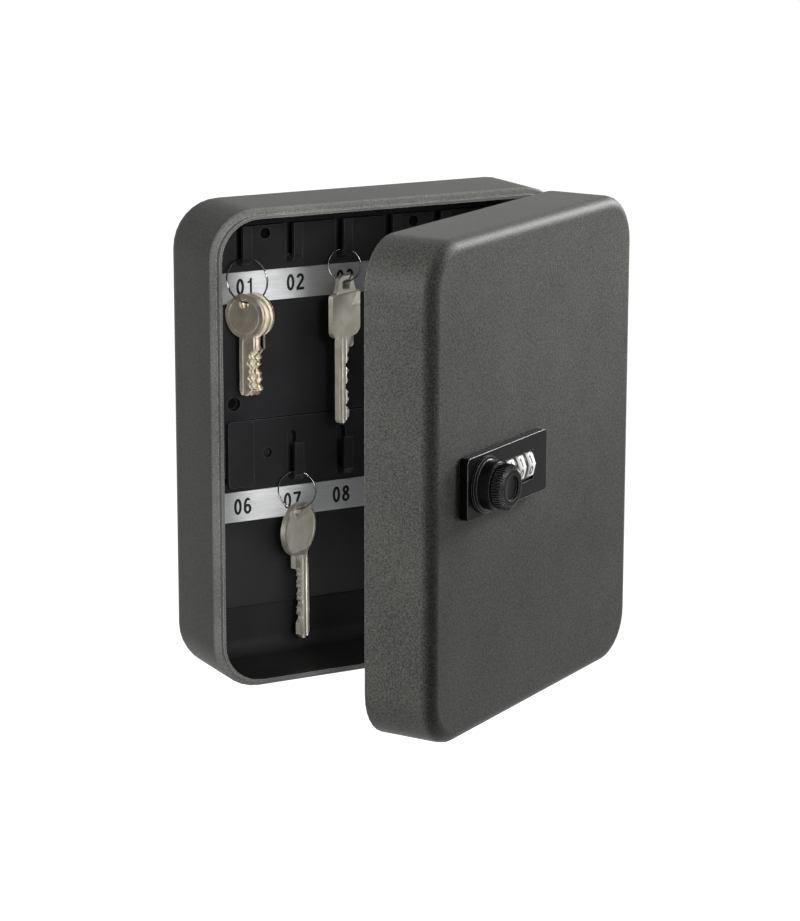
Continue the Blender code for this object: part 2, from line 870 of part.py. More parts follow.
def reset_place():
    # In the free corner of the wheel pocket, beside the locking bar.
    x = wheel_pocket_right - wheel_step / 2
    z = plate_middle.z - (pocket_height + bar_height) / 4
    return (x, z)


def screw_mesh(name, length):
    # The head is up, with a slot across it, and the shank is a plain rod.
    head = screw_head_height
    profile = [
        (0, seat + head),
        (screw_head_radius - head / 3, seat + head),
        (screw_head_radius, seat + head * 2 / 3),
        (screw_head_radius, seat),
        (cover_screw_radius, seat),
        (cover_screw_radius, -length),
        (0, -length),
    ]
    return turned_mesh(name, profile, 12)


def build_screw(name, x, seat_y, length, axis):
    # Driven from inside the door, so its head points back towards the wall.
    screw = add_piece(name, screw_mesh(name, length), zinc_steel)
    screw.parent = axis
    screw.location = Vector((x, seat_y, plate_middle.z)) - hinge_point
    screw.rotation_euler.x = math.radians(-90)
    wide = screw_head_radius + cut_overrun
    top = seat + screw_head_height
    half = screw_slot_width / 2
    low = (-wide, -half, top - screw_slot_depth)
    high = (wide, half, top + cut_overrun)
    cut(screw, box_mesh(name + "_slot", (low, high)))
    smooth(screw)


def build_screws(axis):
    for number, x in enumerate(cover_screw_xs()):
        build_screw(f"cover_screw_{number + 1}", x, cover_back, cover_screw_length + cover_thickness, axis)
    inside = door_face + steel
    length = inside - plate_face - plate_skin - 2 * seat
    for number, x in enumerate(lock_screw_xs()):
        build_screw(f"lock_screw_{number + 1}", x, inside, length, axis)


def build_wheels(axis):
    half = wheel_width / 2
    bore = axle_radius + seat
    profile = [
        (bore, half),
        (wheel_radius - wheel_chamfer, half),
        (wheel_radius, half - wheel_chamfer),
        (wheel_radius, wheel_chamfer - half),
        (wheel_radius - wheel_chamfer, -half),
        (bore, -half),
        (bore, half),
    ]
    for number in range(wheel_count):
        name = f"number_wheel_{number + 1}"
        wheel = add_piece(name, turned_mesh(name, profile, wheel_steps), white_plastic)
        wheel.parent = axis
        x = wheel_pocket_left + wheel_gap + wheel_step * number + half
        wheel.location = Vector((x, wheel_y, plate_middle.z)) - hinge_point
        wheel.rotation_euler.y = math.radians(90)
        reach = wheel_radius + cut_overrun
        low = (-gate_width / 2, wheel_radius - gate_depth, -half - cut_overrun)
        high = (gate_width / 2, reach, half + cut_overrun)
        cut(wheel, box_mesh(name + "_gate", (low, high)))
        smooth(wheel)


def build_axle(axis):
    start, end = axle_line(0)
    axle = add_piece("wheel_axle", rod_mesh("wheel_axle", axle_radius, (start, end), steps=16), zinc_steel)
    axle.parent = axis
    axle.location = -hinge_point
    smooth(axle)


def build_locking_bar(axis):
    left = knob_x + spindle_radius + seat
    right = wheel_pocket_right - seat
    shape = lock_box(left, right, bar_front, bar_front + bar_depth, bar_height)
    bar = add_piece("locking_bar", box_mesh("locking_bar", shape), zinc_steel)
    bar.parent = axis
    bar.location = -hinge_point


def build_detent_spring(axis):
    # A bent strip: its foot lies on the rear cover and its free edge bears on the wheels above the bar.
    top = pocket_height / 2 - seat
    low = top - spring_height
    rim = wheel_y + math.sqrt(wheel_radius**2 - low**2) + seat + spring_thickness
    back = body_back - seat
    t = spring_thickness
    outline = [
        (back, low),
        (back, top),
        (rim, top - t),
        (rim - t, low + t),
        (rim, low),
        (rim + t, low + t),
        (rim + t, top - 2 * t),
        (back - t, top - 2 * t),
        (back - t, low),
    ]
    width = wheel_step * wheel_count - 2 * seat
    mesh = outline_mesh("detent_spring", width, outline)
    middle = (wheel_pocket_left + wheel_pocket_right) / 2
    turn = Matrix(((0, 0, 1, middle), (1, 0, 0, 0), (0, 1, 0, plate_middle.z), (0, 0, 0, 1)))
    mesh.transform(turn)
    spring = add_piece("detent_spring", mesh, zinc_steel)
    spring.parent = axis
    spring.location = -hinge_point


def build_reset_button(axis):
    # A push pin through the rear cover, kept in by a collar on its inner end.
    inner = -seat - cover_thickness
    outer = reset_travel + seat
    profile = [
        (0, outer + reset_head_height),
        (reset_head_radius, outer + reset_head_height),
        (reset_head_radius, outer),
        (reset_radius, outer),
        (reset_radius, inner),
        (reset_head_radius, inner),
        (reset_head_radius, inner - reset_head_height),
        (0, inner - reset_head_height),
    ]
    button = add_piece("reset_button", turned_mesh("reset_button", profile, 12), white_plastic)
    x, z = reset_place()
    button.parent = axis
    button.location = Vector((x, cover_back, z)) - hinge_point
    button.rotation_euler.x = math.radians(-90)
    smooth(button)


def build_knob(axis):
    # Heights are in front of the lock plate.
    base = seat
    flange = base + knob_flange_height
    collar = base + collar_height
    neck = collar + neck_height
    front = neck + grip_height
    inner = grip_radius - grip_flute
    hole = spindle_nose_radius + seat
    profile = [
        (0, front - dish_depth / 2),
        (button_radius, front - dish_depth / 2),
        (button_radius, front - dish_depth),
        (dish_radius - dish_depth / 2, front - dish_depth),
        (dish_radius, front),
        (inner - grip_chamfer, front),
        (inner, front - grip_chamfer),
        (inner, neck),
        (neck_radius, neck),
        (neck_radius, collar),
        (collar_radius - neck_height, collar),
        (collar_radius, collar - neck_height),
        (collar_radius, flange + neck_height),
        (knob_flange_radius - neck_height, flange),
        (knob_flange_radius, flange - neck_height),
        (knob_flange_radius, base),
        (hole, base),
        (hole, base + spindle_nose_length + seat),
        (0, base + spindle_nose_length + seat),
    ]
    knob = add_piece("knob", turned_mesh("knob", profile, wheel_steps), black_metal)
    knob.parent = axis
    knob.rotation_euler.x = math.radians(90)
    flutes = []
    for i in range(flute_count):
        for part, radius in ((0, grip_radius), (0.5, inner - root / 4)):
            angle = math.tau * (i + part) / flute_count
            flutes.append((radius * math.cos(angle), radius * math.sin(angle)))
    grip = outline_mesh("knob_grip", grip_height - 2 * grip_chamfer, flutes, arc_loop(inner - root))
    grip.transform(Matrix.Translation((0, 0, (neck + front) / 2)))
    join(knob, grip)
    smooth(knob)


def arc_loop(radius):
    return arc((0, 0), radius, 0, 360 - 360 / round_steps, round_steps - 1)


def build_spindle(axis):
    # Heights are in front of the lock plate, so the parts behind it are below zero.
    nose = seat + spindle_nose_length
    rear = plate_face - cam_hub_y + seat
    end = rear - cam_thickness - nut_height - 3 * seat
    profile = [
        (0, nose),
        (spindle_nose_radius, nose),
        (spindle_nose_radius, 0),
        (spindle_radius, 0),
        (spindle_radius, rear),
        (thread_radius, rear),
        (thread_radius, end),
        (0, end),
    ]
    spindle = add_piece("spindle", turned_mesh("spindle", profile), zinc_steel)
    spindle.parent = axis
    spindle.rotation_euler.x = math.radians(90)
    smooth(spindle)


def build_cam(axis):
    # It hangs down while the lock is open. In the outline, across is towards the wall and up is up.
    offset = cam_tip_y - cam_hub_y
    t = cam_thickness
    low = -cam_reach
    step, run = -cam_step, crank_run
    outline = [
        (0, cam_width / 2),
        (0, step),
        (offset, step - run),
        (offset, low),
        (offset + t, low),
        (offset + t, step - run + t / 2),
        (t, step + t / 2),
        (t, cam_width / 2),
    ]
    mesh = outline_mesh("cam", cam_width, outline)
    turn = Matrix(((0, 0, 1, 0), (1, 0, 0, cam_hub_y - plate_face), (0, 1, 0, 0), (0, 0, 0, 1)))
    mesh.transform(turn)
    cam = add_piece("cam", mesh, zinc_steel)
    cam.parent = axis
    hub = cam_hub_y - plate_face
    bore = thread_radius + seat
    cut(cam, rod_mesh("cam_bore", bore, ((0, hub - cut_overrun, 0), (0, hub + t + cut_overrun, 0))))
    return cam


def build_cam_nut(axis):
    start = cam_hub_y - plate_face + cam_thickness + seat
    mesh = rod_mesh("cam_nut", nut_radius, ((0, start, 0), (0, start + nut_height, 0)), steps=6)
    nut = add_piece("cam_nut", mesh, zinc_steel)
    nut.parent = axis
    near, far = start - cut_overrun, start + nut_height + cut_overrun
    cut(nut, rod_mesh("cam_nut_bore", thread_radius + seat, ((0, near, 0), (0, far, 0))))
    smooth(nut)


def build_lock(axis):
    build_lock_body(axis)
    build_rear_cover(axis)
    build_screws(axis)
    build_wheels(axis)
    build_axle(axis)
    build_locking_bar(axis)
    build_detent_spring(axis)
    build_reset_button(axis)
    knob_axis = empty("knob_axis", axis, Vector((knob_x, plate_face, plate_middle.z)) - hinge_point)
    build_knob(knob_axis)
    build_spindle(knob_axis)
    build_cam(knob_axis)
    build_cam_nut(knob_axis)


def key_stand_off(kind, base):
    # How far from the wall the ring's foot lies, so that the turned bow clears what is behind it.
    turn = key_turns[kind]
    half = bow_widths[kind] / 2 * math.sin(abs(turn)) + key_slides[kind] * math.sin(turn)
    return base - half - key_thicknesses[kind] / 2 * math.cos(turn) - key_wall_gap


def ring_top(row):
    # The wire's centre where the ring hangs on a hook's arm, clear of the arm's whole width.
    half = hook_width / 2
    smallest = min(ring_diameters.values()) / 2 - 2 * wire_radius
    sag = smallest - math.sqrt(smallest**2 - half**2)
    return row + hook_thickness + seat + sag + wire_radius


def build_ring(name, hook, row, kind, base):
    radius = ring_diameters[name] / 2 - wire_radius
    valley = panel_face - (hook_reach - hook_thickness) * ring_reach_share
    tilt = math.asin((valley - key_stand_off(kind, base)) / (2 * radius * math.cos(ring_turns[name])))
    pivot = empty(name + "_pivot", None, (hook_xs()[hook], valley, ring_top(row)))
    pivot.rotation_euler = (-tilt, 0, ring_turns[name])
    bpy.ops.mesh.primitive_torus_add(
        major_segments=ring_steps, minor_segments=wire_steps, major_radius=radius, minor_radius=wire_radius
    )
    mesh = bpy.context.object.data
    bpy.data.objects.remove(bpy.context.object)
    mesh.name = name
    ring = add_piece(name, mesh, zinc_steel)
    ring.parent = pivot
    ring.location = (0, 0, -radius)
    ring.rotation_euler.x = math.radians(90)
    smooth(ring, 60)
    return pivot, radius, tilt


def bow_outline(kind, top, neck_left, neck_right):
    # From the right end of the neck round the top to its left end.
    width, height = bow_widths[kind], bow_heights[kind]
    if kind == "key_03":
        half, base = width / 2, top - height
        slope = top - height * square_slope_share
        corner = square_corner
        right = [
            (half - corner, base),
            (half, base + corner),
            (half, slope - corner),
            (half - corner / 2, slope - neck_drop),
            (half * square_foot_share, slope),
            (half * square_top_share, top),
        ]
        left = [(-x, y) for x, y in reversed(right)]
        return [(neck_right, base - neck_drop), *right, *left, (neck_left, base - neck_drop)]
    start = -math.degrees(math.acos(2 * neck_right / width))
    end = 360 - math.degrees(math.acos(2 * neck_left / width))
    around = arc((0, 0), 1, start, end, bow_steps)
    return [(width / 2 * x, top - height / 2 + height / 2 * y) for x, y in around]


def blade_outline(kind, neck_y, tip_y):
    # The bitted side is on the side of the offset's sign, apart from key 07, where it is the other one.
    width, offset = blade_widths[kind], blade_offsets[kind]
    bitted = -1 if kind == "key_07" else 1
    plain_x = offset - bitted * width / 2
    edge_x = offset + bitted * width / 2
    stop_x = plain_x + bitted * shoulder_widths[kind]
    stop_y = neck_y - shoulder_height
    step = width * cut_pitch_share
    bits = [(stop_x, stop_y), (edge_x, stop_y)]
    y = stop_y - step
    number = 0
    while y - step > tip_y + width / 2:
        depth = width * cut_shares[number % len(cut_shares)] * bitted
        bits += [(edge_x, y + step / 3), (edge_x - depth, y), (edge_x - depth, y - step / 4)]
        y -= step
        number += 1
    bits += [(edge_x, y), (edge_x, tip_y + tip_point)]
    point = [(offset, tip_y), (plain_x, tip_y + tip_point)]
    return plain_x, stop_x, bits, point


def hole_above_wire(kind, radius, swing, slant):
    # How far the hole's top is above the wire's centre, as the curved wire goes through it at a slant.
    half = (key_thicknesses[kind] / 2 + wire_radius) / math.sin(abs(slant))
    corner = hole_heights[kind] * hole_corner_share
    past = max(0, half - (hole_widths[kind] / 2 - corner))
    drop = corner - math.sqrt(corner**2 - past**2)
    return wire_radius + seat + drop + half * math.tan(abs(swing)) + half**2 / (2 * radius)


def build_key(name, kind, pivot, radius, tilt, along, ring_turn, floor):
    # Its origin is where the ring's wire goes through the hole.
    swing = math.asin(along / radius)
    place = Vector((radius * math.sin(swing), 0, -radius - radius * math.cos(swing)))
    slant = key_turns[kind] - ring_turn
    turn = Matrix.Rotation(tilt, 4, "X") @ Matrix.Rotation(slant, 4, "Z")
    thickness = key_thicknesses[kind]
    hole_top = hole_above_wire(kind, radius, swing, slant)
    top = hole_top + bow_webs[kind]
    foot = ring_top(upper_row if floor > lower_row else lower_row) - 2 * radius * math.cos(tilt)
    lift = radius * (1 - math.cos(swing)) * math.cos(tilt)
    tip_y = floor + tip_clearances[kind] - foot - lift
    width, offset = blade_widths[kind], blade_offsets[kind]
    neck_y = top - bow_heights[kind]
    plain_x, stop_x, bits, point = blade_outline(kind, neck_y, tip_y)
    left, right = sorted((plain_x, stop_x))
    bow = bow_outline(kind, top, left, right)
    down = [*bits, *point]
    outline = [*bow, *down] if stop_x < plain_x else [*bow, *reversed(down)]
    hole_height = hole_heights[kind]
    middle = hole_top - hole_height / 2
    ring_hole = round_rectangle(hole_widths[kind], hole_height, hole_height * hole_corner_share)
    hole = [(x, y + middle) for x, y in ring_hole]
    mesh = outline_mesh(name, thickness, outline, hole)
    slide = key_slides[kind]
    mesh.transform(Matrix.Translation((slide, 0, 0)) @ Matrix.Rotation(math.radians(90), 4, "X"))
    key = add_piece(name, mesh, brass_nickel if kind == "key_01" else nickel_silver)
    key.parent = pivot
    key.matrix_local = Matrix.Translation(place) @ turn
    low, high = tip_y - cut_overrun, neck_y - shoulder_height / 2
    grooves = []
    for side in (-1, 1):
        x = slide + plain_x + (offset - plain_x) * (0.55 if side > 0 else 0.9)
        near, far = sorted((side * (thickness / 2 - groove_depth), side * (thickness / 2 + cut_overrun)))
        grooves.append(((x - groove_width / 2, near, low), (x + groove_width / 2, far, high)))
    cut(key, box_mesh(name + "_grooves", *grooves))


def build_keys():
    upper_floor = lower_row + wide_hook_height
    hook_top = lower_row + hook_height
    sets = (
        ("ring_01", 0, upper_row, "key_01", panel_face, upper_floor, ("key_01_a", "key_01_b", "key_01_c")),
        ("ring_03", 2, upper_row, "key_03", strip_face, hook_top, ("key_03",)),
        ("ring_07", 1, lower_row, "key_07", strip_face, case_bottom, ("key_07",)),
    )
    for ring, hook, row, kind, base, floor, names in sets:
        pivot, radius, tilt = build_ring(ring, hook, row, kind, base)
        for number, name in enumerate(names):
            along = key_spacing * (number - (len(names) - 1) / 2)
            build_key(name, kind, pivot, radius, tilt, along, ring_turns[ring], floor)


def build():
    build_case()
    build_panels()
    build_strips()
    build_rivets()
    build_strike()
    build_hinge()
    door_axis = empty("door_axis", None, hinge_point)
    door_axis.rotation_euler.z = door_angle
    build_hinge_leaf("hinge_door_leaf", -1, 1, door_axis)
    build_door(door_axis)
    build_lock(door_axis)
    build_keys()


build()
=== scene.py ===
import json
import math

import bmesh
import bpy
from mathutils import Matrix, Vector

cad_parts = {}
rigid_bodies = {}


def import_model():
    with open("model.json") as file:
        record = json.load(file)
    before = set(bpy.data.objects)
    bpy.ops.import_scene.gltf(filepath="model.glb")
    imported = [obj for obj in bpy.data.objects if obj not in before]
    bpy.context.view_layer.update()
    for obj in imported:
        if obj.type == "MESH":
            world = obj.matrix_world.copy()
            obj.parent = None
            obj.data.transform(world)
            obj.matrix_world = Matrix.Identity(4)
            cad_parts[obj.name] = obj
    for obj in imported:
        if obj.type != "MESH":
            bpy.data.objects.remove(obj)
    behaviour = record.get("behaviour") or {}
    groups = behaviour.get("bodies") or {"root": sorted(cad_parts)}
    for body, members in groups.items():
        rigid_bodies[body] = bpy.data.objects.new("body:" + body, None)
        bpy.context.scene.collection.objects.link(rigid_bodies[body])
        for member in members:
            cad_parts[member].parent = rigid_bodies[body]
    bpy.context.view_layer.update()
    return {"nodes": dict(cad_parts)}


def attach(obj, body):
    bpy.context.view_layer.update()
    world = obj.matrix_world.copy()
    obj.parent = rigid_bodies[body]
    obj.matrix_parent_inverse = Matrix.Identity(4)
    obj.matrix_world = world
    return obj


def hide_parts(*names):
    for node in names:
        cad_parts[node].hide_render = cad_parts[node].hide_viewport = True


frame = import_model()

# Key cabinet: powder-coated case and door, moulded hook panels, dial lock, rings and keys.
# Lengths in the dictionaries are in millimetres, and +Z is up.

mm = 0.001
scene = bpy.context.scene
nodes = frame["nodes"]


def linear(hexColour):  # sRGB hex to the linear colour that Blender's sockets take
    parts = [int(hexColour[i : i + 2], 16) / 255 for i in (0, 2, 4)]
    return tuple(c / 12.92 if c <= 0.04045 else ((c + 0.055) / 1.055) ** 2.4 for c in parts)


def rgba(hexColour):
    return (*linear(hexColour), 1)


def addNode(tree, kind, inputs=None, **settings):
    node = tree.nodes.new(kind)
    for name, value in settings.items():
        setattr(node, name, value)
    for name, value in (inputs or {}).items():
        if isinstance(value, bpy.types.NodeSocket):
            tree.links.new(value, node.inputs[name])
        else:
            node.inputs[name].default_value = value
    return node


def showMesh(name, mesh, finish, body):
    piece = bpy.data.objects.new(name, mesh)
    scene.collection.objects.link(piece)
    mesh.materials.clear()
    mesh.materials.append(finish)
    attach(piece, body)
    return piece


def meshOf(name, bm, sharp=32):
    bmesh.ops.recalc_face_normals(bm, faces=bm.faces)
    mesh = bpy.data.meshes.new(name)
    bm.to_mesh(mesh)
    bm.free()
    mesh.shade_smooth()
    mesh.set_sharp_from_angle(angle=math.radians(sharp))
    return mesh


def applied(name, mesh, *steps):
    # Runs modifiers on a mesh that isn't shown yet: each step is a kind and its settings.
    holder = bpy.data.objects.new(name, mesh)
    scene.collection.objects.link(holder)
    for kind, settings in steps:
        step = holder.modifiers.new(kind, kind)
        for key, value in settings.items():
            setattr(step, key, value)
    bpy.context.view_layer.update()
    graph = bpy.context.evaluated_depsgraph_get()
    made = bpy.data.meshes.new_from_object(holder.evaluated_get(graph))
    bpy.data.objects.remove(holder)
    made.name = name
    return made


def carve(mesh, tools):
    # Cuts the tools out of a mesh, one after the other.
    holders = []
    for number, tool in enumerate(tools):
        holder = bpy.data.objects.new(f"tool{number}", tool)
        scene.collection.objects.link(holder)
        holders.append(holder)
    cut = {"operation": "DIFFERENCE", "solver": "EXACT"}
    made = applied(mesh.name, mesh, *[("BOOLEAN", {**cut, "object": holder}) for holder in holders])
    for holder in holders:
        bpy.data.objects.remove(holder)
    return made


def eased(mesh, width, steps=2, angle=35, sharp=32):
    # Breaks a mesh's sharp edges with a small round, as tumbling, moulding or coating does.
    bevel = {
        "width": width * mm,
        "segments": steps,
        "limit_method": "ANGLE",
        "angle_limit": math.radians(angle),
        "use_clamp_overlap": True,
        "miter_outer": "MITER_ARC",
    }
    made = applied(mesh.name, mesh, ("BEVEL", bevel))
    made.shade_smooth()
    made.set_sharp_from_angle(angle=math.radians(sharp))
    return applied(made.name, made, ("WEIGHTED_NORMAL", {"keep_sharp": True, "weight": 60}))


def arc(centre, radius, start, end, steps):
    turns = [math.radians(start + (end - start) * i / steps) for i in range(steps + 1)]
    return [(centre[0] + radius[0] * math.cos(a), centre[1] + radius[1] * math.sin(a)) for a in turns]


def circle(radius, steps):
    return arc((0, 0), (radius, radius), 0, 360, steps)[:-1]


def roundRectangle(width, height, radius, steps=8):
    across, up = width / 2 - radius, height / 2 - radius
    points = []
    for x, y, start in ((across, up, 0), (-across, up, 90), (-across, -up, 180), (across, -up, 270)):
        points += arc((x, y), (radius, radius), start, start + 90, steps)
    return points


def plate(name, thickness, *loops):
    # A flat plate centred on its XY plane: the first loop is its edge, the rest are holes.
    curve = bpy.data.curves.new(name, "CURVE")
    curve.dimensions = "2D"
    curve.fill_mode = "BOTH"
    curve.extrude = thickness / 2 * mm
    for loop in loops:
        spline = curve.splines.new("POLY")
        spline.points.add(len(loop) - 1)
        for point, (x, y) in zip(spline.points, loop):
            point.co = (x * mm, y * mm, 0, 1)
        spline.use_cyclic_u = True
    holder = bpy.data.objects.new(name, curve)
    scene.collection.objects.link(holder)
    bpy.context.view_layer.update()
    graph = bpy.context.evaluated_depsgraph_get()
    mesh = bpy.data.meshes.new_from_object(holder.evaluated_get(graph))
    bpy.data.objects.remove(holder)
    bm = bmesh.new()
    bm.from_mesh(mesh)
    bmesh.ops.remove_doubles(bm, verts=bm.verts, dist=1e-6)
    return meshOf(name, bm)


def turned(name, profile, steps, ribs=None):
    # Turns pairs of radius and height, in millimetres, about Z into a closed piece.
    # ribs gives each pair's share of a rib wave: count, depth and the shares.
    bm = bmesh.new()
    rings = []
    for index, (radius, height) in enumerate(profile):
        if radius == 0:
            rings.append([bm.verts.new((0, 0, height * mm))])
            continue
        ring = []
        for i in range(steps):
            a = math.tau * i / steps
            r = radius
            if ribs and ribs["shares"][index]:
                wave = abs((i * ribs["count"] / steps) % 1 - 0.5) * 2
                r -= ribs["depth"] * ribs["shares"][index] * wave
            ring.append(bm.verts.new((r * math.cos(a) * mm, r * math.sin(a) * mm, height * mm)))
        rings.append(ring)
    pairs = list(zip(rings, rings[1:]))
    if profile[0][0] and profile[-1][0]:
        pairs.append((rings[-1], rings[0]))
    for first, second in pairs:
        for i in range(steps):
            j = (i + 1) % steps
            near = [first[i % len(first)], first[j % len(first)]]
            far = [second[j % len(second)], second[i % len(second)]]
            corners = list(dict.fromkeys(near + far))
            if len(corners) > 2:
                bm.faces.new(corners)
    return meshOf(name, bm)


def tube(name, points, radius, sides=10):
    # A round wire of one radius along points in metres, with its ends closed.
    bm = bmesh.new()
    previous = [points[0], *points[:-1]]
    following = [*points[1:], points[-1]]
    along = [(after - before).normalized() for before, after in zip(previous, following)]
    side = along[0].orthogonal().normalized()
    rings = []
    for point, ahead in zip(points, along):
        side = (side - ahead * side.dot(ahead)).normalized()
        up = ahead.cross(side)
        turns = [math.tau * k / sides for k in range(sides)]
        rings.append([bm.verts.new(point + (side * math.cos(a) + up * math.sin(a)) * radius) for a in turns])
    for first, second in zip(rings, rings[1:]):
        for k in range(sides):
            n = (k + 1) % sides
            bm.faces.new((first[k], first[n], second[n], second[k]))
    bm.faces.new(rings[0])
    bm.faces.new(rings[-1])
    return meshOf(name, bm, sharp=50)


def fromFrame(node, name, flat=0.4):
    # A clean copy of a node's mesh: corners joined, and parts flat within an angle made one face.
    source = nodes[node].data
    mesh = bpy.data.meshes.new(name)
    mesh.from_pydata([v.co[:] for v in source.vertices], [], [p.vertices[:] for p in source.polygons])
    bm = bmesh.new()
    bm.from_mesh(mesh)
    bmesh.ops.remove_doubles(bm, verts=bm.verts, dist=2e-6)
    bmesh.ops.dissolve_limit(bm, angle_limit=math.radians(flat), verts=bm.verts, edges=bm.edges)
    return meshOf(name, bm)


def joined(name, meshes):
    bm = bmesh.new()
    for mesh in meshes:
        bm.from_mesh(mesh)
    return meshOf(name, bm)


def placed(mesh, matrix):
    mesh.transform(matrix)
    return mesh


upright = Matrix.Rotation(math.radians(90), 4, "X")  # stands a flat plate up, its face to the front


# Metres and degrees. The lens and sensor are in millimetres.
camera = dict(
    place=(-0.5980, -1.1707, 0.2968), yaw=28.06, pitch=-13.54, roll=0.10,
    lens=122.74, sensor=36, near=0.05, far=60,
)


def buildCamera():
    data = bpy.data.cameras.new("photoCamera")
    data.sensor_width = camera["sensor"]
    data.lens = camera["lens"]
    data.clip_start, data.clip_end = camera["near"], camera["far"]
    eye = bpy.data.objects.new("photoCamera", data)
    turn = Matrix.Rotation(-math.radians(camera["yaw"]), 4, "Z")
    tilt = Matrix.Rotation(math.radians(90 + camera["pitch"]), 4, "X")
    roll = Matrix.Rotation(math.radians(camera["roll"]), 4, "Z")
    eye.matrix_world = Matrix.Translation(camera["place"]) @ turn @ tilt @ roll
    scene.collection.objects.link(eye)
    scene.camera = eye


buildCamera()
print("camera placed")


